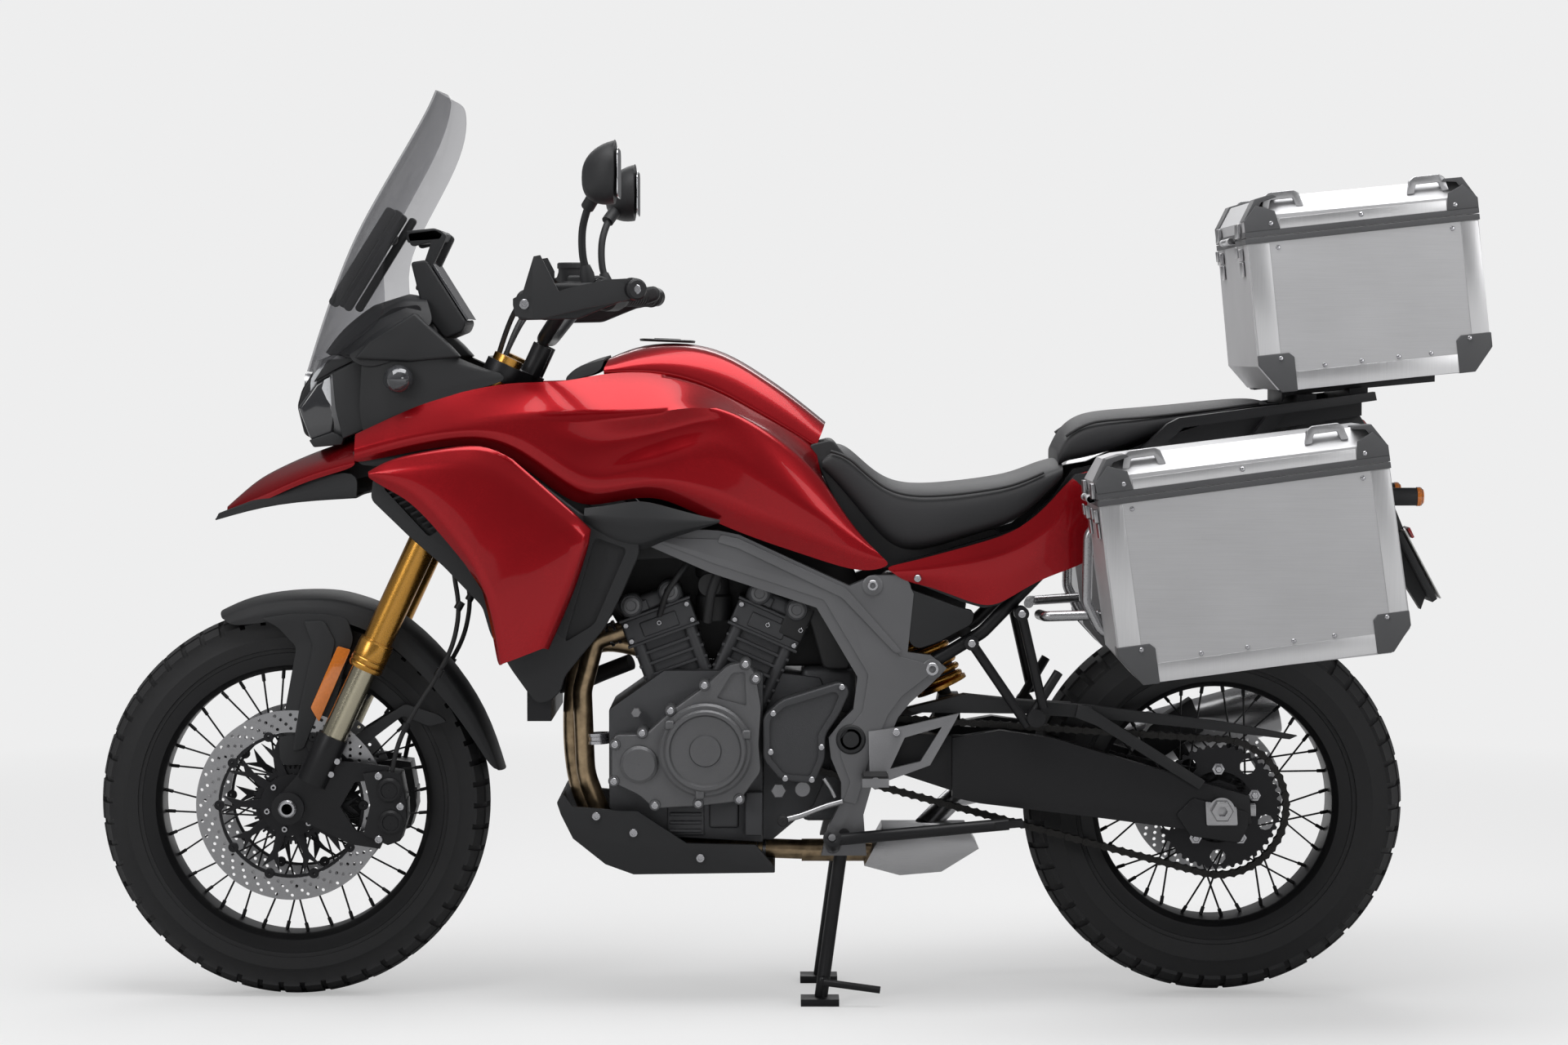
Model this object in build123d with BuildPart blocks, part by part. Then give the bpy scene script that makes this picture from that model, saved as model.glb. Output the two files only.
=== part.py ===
"""An adventure touring motorcycle with a top box and two panniers.

Millimetres. +X points rearwards, the machine's left side is -Y and +Z is up.
The origin is on the ground, under the middle of the machine's length.
It is parked upright on its centre stand, with the rear wheel just off the ground.
Side outlines are lists of (x, z) points; "near" and "far" are distances from the middle plane.
"""

import math
import os

from build123d import *

# ---------------------------------------------------------------- driving dimensions
axle_x_front = -828.0
wheelbase = 1555.0
front_tyre_radius = 329.3
front_tyre_width = 110.0
front_bead_radius = 241.3
rear_tyre_radius = 320.9
rear_tyre_width = 150.0
rear_bead_radius = 215.9
rear_wheel_lift = 8.0
axle_radius = 12.5
axle_bore = 9.0
axle_gap = 0.3

rake = 25.0
fork_spread = 105.0
fork_offset = 32.0
fork_point = (-687.0, 590.0)
outer_tube_radius = 25.0
slider_radius = 21.5
collar_radius = 28.5
stem_radius = 17.0
sweep_radius = 147.0
head_web = 50.0
stem_gap = 0.4
head_radius = 33.0
head_length = 170.0
yoke_thickness = 30.0
yoke_gap = 0.8

front_disc_radius = 160.0
front_disc_inner = 123.0
front_disc_y = 74.0
rear_disc_radius = 132.0
disc_thickness = 5.0
chain_pitch = 15.875
front_teeth = 17
rear_teeth = 45
chain_y = 96.0
chain_width = 22.0
chain_half_height = 8.0
front_sprocket = (20.0, 446.0)

spar_inner = 118.0
spar_outer = 150.0
pivot = (111.0, 448.0)
crank = (-130.0, 432.0)
crankcase_half = 118.0
front_lean = 20.0
rear_lean = 24.0
wing_inner = 148.0
wing_outer = 168.0
duct_outer = 190.0
cowl_outer = 238.0

case_wall = 3.0
seam_gap = 0.6
top_box_half = 210.0
pannier_inner = 232.0
pannier_outer = 480.0

stand_pivot = (100.0, 290.0)
stand_foot = (60.0, 0.0)
side_stand_pivot = (80.0, 283.0)
side_stand_y = 176.0
side_stand_axis = (0.041, 0.902, -0.430)

front_axle = (axle_x_front, front_tyre_radius)
rear_axle = (axle_x_front + wheelbase, rear_tyre_radius + rear_wheel_lift)
sin_rake = math.sin(math.radians(rake))
cos_rake = math.cos(math.radians(rake))
left = (0, -1, 0)

os.makedirs("parts", exist_ok=True)


# ---------------------------------------------------------------- ways of making shapes
def finish(builder, name):
    """Labels a finished piece and writes it."""
    builder.part.label = name
    export_step(builder.part, f"parts/{name}.step")


def plate(points, near, far, mode=Mode.ADD):
    """A flat piece with a side outline, from y = -near to y = -far."""
    with BuildSketch(Plane.XZ.offset(near)) as outline:
        Polygon(*points, align=None)
    extrude(outline.sketch, amount=far - near, dir=left, mode=mode)


def disc(x, z, radius, near, far, mode=Mode.ADD):
    """A round piece with its axis along Y, from y = -near to y = -far."""
    with Locations(Plane(origin=(x, -near, z), x_dir=(1, 0, 0), z_dir=left)):
        Cylinder(radius, far - near, align=(Align.CENTER, Align.CENTER, Align.MIN), mode=mode)


def bar(start, end, radius, mode=Mode.ADD):
    """A straight round bar between two points."""
    run = Vector(*end) - Vector(*start)
    with Locations(Plane(origin=start, z_dir=run)):
        Cylinder(radius, run.length, align=(Align.CENTER, Align.CENTER, Align.MIN), mode=mode)


def bent_tube(points, radius, bends):
    """A round tube along straight runs joined by arcs."""
    with BuildLine() as route:
        FilletPolyline(*points, radius=bends)
    with BuildSketch(Plane(origin=route.line @ 0, z_dir=route.line % 0)) as section:
        Circle(radius)
    sweep(section.sketch, path=route.line)


def plan_cut(points, low, high):
    """Keeps only what lies inside a plan outline of (x, y) points and its mirror image."""
    both = [*points, *[(x, -y) for x, y in reversed(points)]]
    with BuildSketch(Plane.XY.offset(low)) as outline:
        Polygon(*both, align=None)
    extrude(outline.sketch, amount=high - low, mode=Mode.INTERSECT)


def on_fork(along, back=0.0, y=0.0):
    """A point beside a fork leg's line, given along it from fork_point and back from it."""
    x = fork_point[0] + along * sin_rake + back * cos_rake
    z = fork_point[1] + along * cos_rake - back * sin_rake
    return (x, y, z)


def on_stem(along, back=0.0, y=0.0):
    """The same, from the steering axis."""
    return on_fork(along, fork_offset + back, y)


def on_side_pin(along):
    """A point on the side stand's pin, given from the middle of its eye towards the frame."""
    centre = (side_stand_pivot[0], -side_stand_y, side_stand_pivot[1])
    return tuple(c + along * a for c, a in zip(centre, side_stand_axis))


# Places along the fork and the steering axis.
head_low = 330.0
head_high = head_low + head_length
lower_yoke = head_low - yoke_gap - yoke_thickness
upper_yoke = head_high + yoke_gap
tube_low = -22.0
tube_high = upper_yoke + yoke_thickness + 12.0
slider_low = -182.0

# ---------------------------------------------------------------- wheels
# name, axle, tyre radius, tyre width, bead radius, rim height inwards, hub half width,
# hub flange radius, spoke reach from the middle at the hub, spokes a side
wheel_table = [
    ("front", front_axle, front_tyre_radius, front_tyre_width, front_bead_radius, 62.0, 44.0, 30.0, 18),
    ("rear", rear_axle, rear_tyre_radius, rear_tyre_width, rear_bead_radius, 82.0, 62.0, 40.0, 18),
]
flange_height = 13.0
rim_depth = 18.0
spoke_radius = 2.0
for name, axle, radius, width, bead, hub_half, hub_flange, spoke_y, spokes in wheel_table:
    rim_half = 0.38 * width
    wheel_plane = Plane(origin=(axle[0], 0, axle[1]), x_dir=(1, 0, 0), z_dir=left)
    with BuildPart() as tyre:
        with BuildSketch(Plane.XY):
            with BuildLine():
                Polyline((-rim_half, bead - 6), (rim_half, bead - 6), (rim_half, bead + flange_height + 1))
                ThreePointArc(
                    (rim_half, bead + flange_height + 1),
                    (width / 2, 0.45 * radius + 0.55 * bead),
                    (0.80 * width / 2, radius - 0.16 * width),
                )
                ThreePointArc(
                    (0.80 * width / 2, radius - 0.16 * width),
                    (0, radius),
                    (-0.80 * width / 2, radius - 0.16 * width),
                )
                ThreePointArc(
                    (-0.80 * width / 2, radius - 0.16 * width),
                    (-width / 2, 0.45 * radius + 0.55 * bead),
                    (-rim_half, bead + flange_height + 1),
                )
                Line((-rim_half, bead + flange_height + 1), (-rim_half, bead - 6))
            make_face()
        revolve(axis=Axis.X)
    tyre_part = Plane(origin=(axle[0], 0, axle[1]), x_dir=left, z_dir=(1, 0, 0)) * tyre.part
    with BuildPart() as placed_tyre:
        add(tyre_part)
    finish(placed_tyre, f"{name}_tyre")

    with BuildPart() as rim:
        disc(*axle, bead + flange_height, -rim_half - 5, rim_half + 5)
        disc(*axle, bead + flange_height + 1, -rim_half, rim_half, Mode.SUBTRACT)
        disc(*axle, bead - 6, -rim_half - 5, rim_half + 5)
        disc(*axle, bead - rim_depth, -rim_half - 5, rim_half + 5, Mode.SUBTRACT)
        for side in (-1, 1):
            for n in range(spokes):
                at_rim = 2 * math.pi * (n + 0.25 * side) / spokes
                at_hub = at_rim + (0.9 if n % 2 else -0.9)
                hub_r, rim_r = hub_flange - 5, bead - rim_depth + 2
                bar(
                    (axle[0] + hub_r * math.cos(at_hub), side * spoke_y, axle[1] + hub_r * math.sin(at_hub)),
                    (axle[0] + rim_r * math.cos(at_rim), side * 10.0, axle[1] + rim_r * math.sin(at_rim)),
                    spoke_radius,
                )
        disc(*axle, 0.72 * hub_flange, -hub_half, hub_half)
        for side in (-1, 1):
            disc(*axle, hub_flange, side * spoke_y - 4, side * spoke_y + 4)
        disc(*axle, axle_radius + axle_gap, -hub_half, hub_half, Mode.SUBTRACT)
    finish(rim, f"{name}_rim")

front_hub_half = wheel_table[0][5]
rear_hub_half = wheel_table[1][5]
with BuildPart() as front_discs:
    for side in (-1, 1):
        y = side * front_disc_y
        disc(*front_axle, front_disc_radius, y - disc_thickness / 2, y + disc_thickness / 2)
        disc(*front_axle, front_disc_inner, y - disc_thickness / 2, y + disc_thickness / 2, Mode.SUBTRACT)
        disc(*front_axle, 50.0, y - disc_thickness / 2, y + disc_thickness / 2)
        for n in range(10):
            turn = 2 * math.pi * n / 10
            bar(
                (front_axle[0] + 46 * math.cos(turn), -y, front_axle[1] + 46 * math.sin(turn)),
                (front_axle[0] + 126 * math.cos(turn), -y, front_axle[1] + 126 * math.sin(turn)),
                2.4,
            )
        disc(*front_axle, 36.0, *sorted((side * front_hub_half, y)))
        disc(*front_axle, axle_radius + axle_gap, y - 20, y + 20, Mode.SUBTRACT)
finish(front_discs, "front_discs")

rear_disc_y = -(rear_hub_half + 12.0)
with BuildPart() as rear_disc:
    disc(*rear_axle, rear_disc_radius, rear_disc_y - disc_thickness / 2, rear_disc_y + disc_thickness / 2)
    disc(*rear_axle, 96.0, rear_disc_y - disc_thickness / 2, rear_disc_y + disc_thickness / 2, Mode.SUBTRACT)
    disc(*rear_axle, 55.0, rear_disc_y - disc_thickness / 2, -rear_hub_half)
    for n in range(6):
        turn = 2 * math.pi * n / 6
        bar(
            (rear_axle[0] + 50 * math.cos(turn), -rear_disc_y, rear_axle[1] + 50 * math.sin(turn)),
            (rear_axle[0] + 100 * math.cos(turn), -rear_disc_y, rear_axle[1] + 100 * math.sin(turn)),
            2.4,
        )
    disc(*rear_axle, axle_radius + axle_gap, rear_disc_y - 20, -rear_hub_half + 1, Mode.SUBTRACT)
finish(rear_disc, "rear_disc")

rear_pitch_radius = chain_pitch / (2 * math.sin(math.pi / rear_teeth))
front_pitch_radius = chain_pitch / (2 * math.sin(math.pi / front_teeth))
with BuildPart() as sprocket:
    disc(*rear_axle, rear_pitch_radius - chain_half_height - 1.2, chain_y - 3.5, chain_y + 3.5)
    for n in range(5):
        turn = 2 * math.pi * (n + 0.2) / 5
        disc(
            rear_axle[0] + 80 * math.cos(turn),
            rear_axle[1] + 80 * math.sin(turn),
            13.0,
            chain_y - 3.5,
            chain_y + 3.5,
            Mode.SUBTRACT,
        )
    disc(*rear_axle, 56.0, rear_hub_half, chain_y)
    disc(*rear_axle, axle_radius + axle_gap, rear_hub_half, chain_y + 4, Mode.SUBTRACT)
finish(sprocket, "rear_sprocket")

with BuildPart() as chain:
    with BuildSketch(Plane.XZ.offset(chain_y - chain_width / 2)) as inner_loop:
        with Locations(front_sprocket):
            Circle(front_pitch_radius - chain_half_height)
        with Locations(rear_axle):
            Circle(rear_pitch_radius - chain_half_height)
        make_hull()
    with BuildSketch(Plane.XZ.offset(chain_y - chain_width / 2)) as outer_loop:
        with Locations(front_sprocket):
            Circle(front_pitch_radius + chain_half_height)
        with Locations(rear_axle):
            Circle(rear_pitch_radius + chain_half_height)
        make_hull()
    extrude(outer_loop.sketch, amount=chain_width, dir=left)
    extrude(inner_loop.sketch, amount=chain_width, dir=left, mode=Mode.SUBTRACT)
finish(chain, "chain")

# ---------------------------------------------------------------- front fork and steering
with BuildPart() as fork_tubes:
    bar(on_fork(tube_low + 12, y=-fork_spread), on_fork(tube_high, y=-fork_spread), outer_tube_radius)
    bar(on_fork(tube_low, y=-fork_spread), on_fork(tube_low + 42, y=-fork_spread), collar_radius)
    bar(on_fork(tube_low - 1, y=-fork_spread), on_fork(tube_low + 30, y=-fork_spread), slider_radius, Mode.SUBTRACT)
    mirror(about=Plane.XZ)
finish(fork_tubes, "fork_tubes")

with BuildPart() as fork_sliders:
    bar(on_fork(slider_low, y=-fork_spread), on_fork(tube_low + 30, y=-fork_spread), slider_radius)
    mirror(about=Plane.XZ)
finish(fork_sliders, "fork_sliders")

# Each carrier clamps a slider's foot and holds the hollow axle a little ahead of the leg.
carrier_top = slider_low + 26.0
carrier_half = 23.0
with BuildPart() as carriers:
    bar(on_fork(slider_low - 60, y=-fork_spread), on_fork(carrier_top, y=-fork_spread), slider_radius + 4)
    disc(*front_axle, 27.0, fork_spread - 21.0, fork_spread + 20.0)
    plate(
        [(-852, 340), (-778, 424), (-742, 406), (-706, 404), (-660, 398), (-664, 378), (-718, 372),
         (-742, 330), (-716, 290), (-668, 278), (-676, 260), (-726, 268), (-806, 308), (-840, 305)],
        fork_spread - 8.0,
        fork_spread + 6.0,
    )
    bar(on_fork(slider_low, y=-fork_spread), on_fork(carrier_top + 1, y=-fork_spread), slider_radius, Mode.SUBTRACT)
    mirror(about=Plane.XZ)
    disc(*front_axle, axle_radius, -fork_spread - 22.0, fork_spread + 22.0)
    disc(*front_axle, axle_bore, -fork_spread - 23.0, fork_spread + 23.0, Mode.SUBTRACT)
finish(carriers, "axle_carriers")

with BuildPart() as yokes:
    for low in (lower_yoke, upper_yoke):
        with BuildSketch(Plane(origin=on_stem(low), x_dir=(cos_rake, 0, -sin_rake), z_dir=(sin_rake, 0, cos_rake))) as yoke:
            for y in (-fork_spread, fork_spread):
                with Locations((-fork_offset, y)):
                    Circle(outer_tube_radius + 7)
            Circle(stem_radius + 14)
            make_hull()
        extrude(yoke.sketch, amount=yoke_thickness)
    bar(on_stem(lower_yoke), on_stem(upper_yoke + yoke_thickness + 8), stem_radius)
    for y in (-fork_spread, fork_spread):
        bar(on_fork(lower_yoke - 1, y=y), on_fork(tube_high + 1, y=y), outer_tube_radius, Mode.SUBTRACT)
    # the two risers that carry the bar
    for y in (-45.0, 45.0):
        bar(on_stem(upper_yoke + yoke_thickness - 2, 8, y), on_stem(upper_yoke + yoke_thickness + 52, 8, y), 17.0)
finish(yokes, "fork_yokes")

bar_centre = on_stem(upper_yoke + yoke_thickness + 52 + 12, 8)
grip_end_x, grip_end_y, grip_end_z = -238.0, 452.0, 1189.0
bar_radius = 12.0
with BuildPart() as handlebar:
    bent_tube(
        [
            (grip_end_x, -grip_end_y, grip_end_z),
            (-345, -205, 1187),
            (bar_centre[0], -110, bar_centre[2]),
            (bar_centre[0], 110, bar_centre[2]),
            (-345, 205, 1187),
            (grip_end_x, grip_end_y, grip_end_z),
        ],
        bar_radius,
        45.0,
    )
    for side in (-1, 1):
        grip = Vector(grip_end_x + 345, side * (grip_end_y - 205), grip_end_z - 1187).normalized()
        end = Vector(grip_end_x, side * grip_end_y, grip_end_z)
        start = end - grip * 135
        bar(tuple(start), tuple(end - grip * 6), 16.5)
        bar(tuple(start - grip * 50), tuple(start - grip * 2), 21.0)
        lever = Vector(-62, 0, -4)
        bar(tuple(start - grip * 38), tuple(start - grip * 38 + lever), 9.0)
        bar(tuple(start - grip * 38 + lever), tuple(end + lever - grip * 12), 5.0)
finish(handlebar, "handlebar")

with BuildPart() as handguards:
    plate(
        [(-223, 1196), (-238, 1206), (-277, 1205), (-335, 1192), (-354, 1186), (-383, 1243), (-393, 1241),
         (-412, 1183), (-430, 1174), (-424, 1147), (-387, 1142), (-309, 1160), (-232, 1175)],
        250.0,
        470.0,
    )
    # plan of the shell, kept thin
    with BuildSketch(Plane.XY.offset(1130)) as shell_plan:
        Polygon(
            (-223, -455), (-223, -466), (-395, -462), (-428, -430), (-430, -300), (-395, -258), (-372, -262),
            (-412, -305), (-410, -425), (-385, -448),
            align=None,
        )
    extrude(shell_plan.sketch, amount=130, mode=Mode.INTERSECT)
    mirror(about=Plane.XZ)
    for side in (-1, 1):
        grip = Vector(grip_end_x + 345, side * (grip_end_y - 205), grip_end_z - 1187).normalized()
        end = Vector(grip_end_x, side * grip_end_y, grip_end_z)
        bar(tuple(end), tuple(end + grip * 12), 9.0)
    add(handlebar.part, mode=Mode.SUBTRACT)
finish(handguards, "handguards")

with BuildPart() as mirrors:
    plate(
        [(-322, 1384), (-309, 1417), (-285, 1426), (-270, 1420), (-263, 1391), (-266, 1340), (-285, 1329),
         (-314, 1326), (-323, 1339)],
        338.0,
        478.0,
    )
    bent_tube(
        [(-293, -370, 1345), (-318, -340, 1322), (-325, -326, 1270), (-322, -322, 1225), (-296, -322, 1188)],
        6.0,
        [14, 40, 25],
    )
    mirror(about=Plane.XZ)
    add(handlebar.part, mode=Mode.SUBTRACT)
finish(mirrors, "mirrors")

caliper_slot = 16.0
with BuildPart() as calipers:
    plate(
        [(-702, 388), (-668, 392), (-640, 388), (-633, 350), (-630, 312), (-641, 275), (-661, 268), (-702, 286),
         (-690, 335)],
        front_disc_y - 19.0,
        front_disc_y + 51.0,
    )
    disc(
        *front_axle,
        front_disc_radius + 5.5,
        front_disc_y - caliper_slot / 2,
        front_disc_y + caliper_slot / 2,
        Mode.SUBTRACT,
    )
    mirror(about=Plane.XZ)
    add(carriers.part, mode=Mode.SUBTRACT)
finish(calipers, "front_calipers")

hose_points = [
    (-532, -96, 849), (-549, -104, 795), (-552, -110, 730), (-540, -114, 662), (-552, -116, 598), (-586, -118, 538),
    (-620, -118, 487), (-645, -116, 437), (-656, -112, 384),
]


def bend_radii(points):
    """The radius of the arc at each inner point: 0.45 of the shorter run over the half turn's tangent."""
    radii = []
    for a, b, c in zip(points, points[1:], points[2:]):
        before, after = Vector(*b) - Vector(*a), Vector(*c) - Vector(*b)
        half_turn = math.radians(before.get_angle(after) / 2)
        radii.append(0.45 * min(before.length, after.length) / math.tan(half_turn))
    return radii


hose_radii = bend_radii(hose_points)
print("hose radii", [round(r) for r in hose_radii])
hose_radius = 4.0
with BuildPart() as hoses:
    bent_tube(hose_points, hose_radius, hose_radii)
    mirror(about=Plane.XZ)
    add(calipers.part, mode=Mode.SUBTRACT)
    add(yokes.part, mode=Mode.SUBTRACT)
finish(hoses, "brake_hoses")

fender_half = 68.0
with BuildPart() as fender:
    plate(
        [(-955, 652), (-903, 675), (-834, 686), (-766, 687), (-725, 677), (-657, 655), (-575, 580), (-507, 482),
         (-473, 383), (-487, 386), (-527, 446), (-580, 527), (-640, 596), (-720, 645), (-790, 668), (-860, 665),
         (-930, 641)],
        -fender_half,
        fender_half,
    )
    for side in (-1, 1):
        plate(
            [(-930, 643), (-860, 662), (-740, 655), (-730, 610), (-768, 474), (-803, 396), (-841, 396), (-857, 404),
             (-841, 477), (-821, 596), (-855, 630)],
            *sorted((side * (fender_half - 6), side * fender_half)),
        )
        plate(
            [(-640, 600), (-560, 560), (-560, 475), (-690, 415), (-715, 440), (-690, 470)],
            *sorted((side * (fender_half - 6), side * fender_half)),
        )
    disc(*front_axle, front_tyre_radius + 14, 6 - fender_half, fender_half - 6, Mode.SUBTRACT)
    # ears that bolt to the fork legs
    for side in (-1, 1):
        plate([(-735, 440), (-700, 428), (-690, 450), (-725, 470)], *sorted((side * (fender_half - 1), side * 88.0)))
    add(carriers.part, mode=Mode.SUBTRACT)
    add(fork_sliders.part, mode=Mode.SUBTRACT)
    add(fork_tubes.part, mode=Mode.SUBTRACT)
    add(front_discs.part, mode=Mode.SUBTRACT)
finish(fender, "front_fender")

# ---------------------------------------------------------------- main frame
with BuildPart() as frame:
    plate(
        [(-455, 985), (-400, 968), (-216, 800), (-108, 795), (-74, 788), (108, 703), (205, 593), (243, 588),
         (270, 566), (243, 539), (209, 509), (189, 484), (155, 403), (132, 322), (137, 254), (62, 254),
         (74, 302), (95, 343), (95, 376), (78, 417), (74, 451), (95, 478), (115, 498), (122, 552), (54, 667),
         (-122, 725), (-225, 770), (-480, 915)],
        spar_inner,
        spar_outer,
    )
    mirror(about=Plane.XZ)
    # gussets from the spars to the steering head
    plate([(-470, 975), (-395, 960), (-290, 885), (-290, 845), (-380, 868), (-478, 912)], -spar_inner, spar_inner)
    # the space that the fork legs and yokes sweep, with the head's own web left in it
    with BuildSketch(Plane(origin=on_stem(head_low - 60), x_dir=(cos_rake, 0, -sin_rake), z_dir=(sin_rake, 0, cos_rake))) as swept:
        Circle(sweep_radius)
        Rectangle(2 * sweep_radius + 10, 2 * head_web, mode=Mode.SUBTRACT)
    extrude(swept.sketch, amount=head_length + 130, mode=Mode.SUBTRACT)
    bar(on_stem(head_low), on_stem(head_high), head_radius)
    # stay that carries the lamp and the nose
    plate([(-490, 905), (-667, 985), (-667, 1035), (-478, 950)], -22.0, 22.0)
    # the cross tubes behind the engine and under the pivot
    disc(180, 700, 14.0, -spar_outer, spar_outer)
    disc(196, 700, 14.0, -spar_outer, spar_outer)
    plate([(108, 703), (150, 720), (200, 720), (215, 690), (205, 593), (150, 640)], spar_inner, spar_outer)
    plate([(108, 703), (150, 720), (200, 720), (215, 690), (205, 593), (150, 640)], -spar_outer, -spar_inner)
    disc(110, 345, 12.0, -spar_inner, spar_inner)
    # pin and spacer of the side stand
    bar(on_side_pin(-14.0), on_side_pin(32.0), 6.0)
    bar(on_side_pin(12.4), on_side_pin(32.0), 13.0)
    bar(on_stem(head_low), on_stem(head_high), stem_radius + stem_gap, Mode.SUBTRACT)
    disc(*stand_pivot, 9.3, -spar_outer, spar_outer, Mode.SUBTRACT)
finish(frame, "main_frame")

seat_base = [(169, 751), (203, 743), (257, 757), (392, 797), (446, 849), (480, 896)]
pillion_base = [(480, 896), (520, 903), (594, 937), (783, 998)]
with BuildPart() as subframe:
    plate(
        [*seat_base[1:], *pillion_base[1:], (960, 1008), (960, 985), (800, 960), (620, 900), (540, 860), (490, 800),
         (400, 762), (260, 725), (215, 715), (203, 722)],
        96.0,
        118.0,
    )
    bent_tube([(232, -134, 566), (330, -128, 625), (600, -107, 900)], 11.0, 60.0)
    mirror(about=Plane.XZ)
    plate([(480, 815), (540, 845), (900, 968), (900, 980), (530, 860), (480, 832)], -96.0, 96.0)
    disc(240, 728, 10.0, -96.0, 96.0)
    add(frame.part, mode=Mode.SUBTRACT)
finish(subframe, "rear_subframe")

# ---------------------------------------------------------------- engine
with BuildPart() as crankcase:
    plate(
        [(-292, 495), (-292, 330), (-240, 284), (-20, 271), (50, 330), (80, 400), (80, 500), (60, 545), (-60, 560),
         (-200, 560)],
        -crankcase_half,
        crankcase_half,
    )
    # the chain's sprocket turns in a recess on the left
    plate([(-35, 250), (-35, 570), (120, 570), (120, 250)], 80.0, crankcase_half, Mode.SUBTRACT)
    disc(*front_sprocket, 20.0, 80.0, chain_y)
    disc(*front_sprocket, front_pitch_radius - chain_half_height, chain_y - 3.5, chain_y + 3.5)
finish(crankcase, "crankcase")

# lean, fore-and-aft place of the barrel's foot
cylinder_table = [(-front_lean, -160.0), (rear_lean, -85.0)]
with BuildPart() as cylinders:
    for lean, foot in cylinder_table:
        up = (math.sin(math.radians(lean)), 0, math.cos(math.radians(lean)))
        base = Plane(origin=(foot, 0, 505), x_dir=(up[2], 0, -up[0]), z_dir=up)
        with Locations(base):
            Box(104, 176, 120, align=(Align.CENTER, Align.CENTER, Align.MIN))
            with Locations((0, 0, 118)):
                Box(122, 196, 62, align=(Align.CENTER, Align.CENTER, Align.MIN))
            with Locations((0, 0, 178)):
                Box(112, 208, 28, align=(Align.CENTER, Align.CENTER, Align.MIN))
    add(crankcase.part, mode=Mode.SUBTRACT)
    add(frame.part, mode=Mode.SUBTRACT)
finish(cylinders, "cylinders")

with BuildPart() as covers:
    # left: alternator cover, its case and the sprocket cover
    plate(
        [(-283, 443), (-290, 385), (-240, 352), (-150, 336), (-60, 345), (-38, 395), (-38, 500), (-70, 560),
         (-120, 552), (-190, 520), (-240, 482)],
        crankcase_half,
        163.0,
    )
    disc(*crank, 74.0, 163.0, 192.0)
    plate(
        [(-35, 415), (-35, 487), (-5, 514), (95, 545), (110, 530), (92, 490), (68, 455), (68, 415), (50, 375), (-5, 380)],
        110.0,
        160.0,
    )
    # right: clutch cover and its case
    plate(
        [(-283, 443), (-290, 385), (-240, 352), (-150, 336), (-30, 345), (20, 400), (10, 480), (-70, 545), (-190, 520)],
        -163.0,
        -crankcase_half,
    )
    disc(-95, 430, 86.0, -188.0, -163.0)
    add(frame.part, mode=Mode.SUBTRACT)
finish(covers, "engine_covers")

with BuildPart() as radiator:
    plate([(-425, 775), (-385, 775), (-385, 480), (-425, 480)], -wing_outer, wing_outer)
finish(radiator, "radiator")

with BuildPart() as headers:
    bent_tube(
        [(-270, -55, 622), (-318, -55, 606), (-340, -50, 520), (-335, -45, 380), (-290, -40, 262), (55, 0, 244)],
        16.5,
        [24, 60, 120, 40],
    )
    bar((30, 0, 244), (150, 0, 244), 19.0)
    add(cylinders.part, mode=Mode.SUBTRACT)
    add(crankcase.part, mode=Mode.SUBTRACT)
    add(frame.part, mode=Mode.SUBTRACT)
finish(headers, "exhaust_headers")

with BuildPart() as muffler:
    plate([(135, 226), (167, 285), (310, 285), (328, 255), (265, 216), (195, 210)], -80.0, 70.0)
    bent_tube([(240, 60, 275), (295, 110, 322), (345, 200, 322), (600, 215, 410)], 19.0, [40, 60])
    bar((560, 210, 390), (860, 222, 470), 48.0)
    add(headers.part, mode=Mode.SUBTRACT)
finish(muffler, "muffler")

with BuildPart() as skid:
    skid_side = [(-378, 343), (-365, 356), (-351, 336), (-270, 329), (-243, 329), (-162, 275), (-47, 272),
                 (-20, 241), (-14, 225), (-250, 222), (-297, 239), (-351, 282), (-371, 322)]
    plate(skid_side, -spar_outer, spar_outer)
    plate(
        [(-380, 420), (-366, 330), (-345, 292), (-292, 247), (-248, 229), (0, 231), (0, 420)],
        -spar_outer + 8,
        spar_outer - 8,
        Mode.SUBTRACT,
    )
    for side in (-1, 1):
        disc(-235, 300, 10.0, *sorted((side * crankcase_half, side * (spar_outer - 4))))
finish(skid, "skid_plate")

# ---------------------------------------------------------------- swingarm, shock, rear brake
with BuildPart() as swingarm:
    plate(
        [(92, 462), (135, 462), (300, 448), (330, 446), (330, 345), (300, 352), (190, 388), (120, 425), (92, 434)],
        75.0,
        116.0,
    )
    plate(
        [(280, 449), (359, 462), (447, 449), (705, 372), (775, 352), (778, 306), (664, 297), (515, 317), (325, 340),
         (280, 350)],
        112.0,
        140.0,
    )
    mirror(about=Plane.XZ)
    disc(*pivot, 22.0, -spar_inner, spar_inner)
    plate([(180, 442), (270, 440), (300, 430), (300, 370), (190, 395)], -112.0, 112.0)
    plate([(245, 438), (262, 512), (296, 512), (300, 430)], -34.0, 34.0)
    disc(*rear_axle, axle_radius, -146.0, 146.0)
    disc(*rear_axle, axle_bore, -147.0, 147.0, Mode.SUBTRACT)
    add(crankcase.part, mode=Mode.SUBTRACT)
finish(swingarm, "swingarm")

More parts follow.
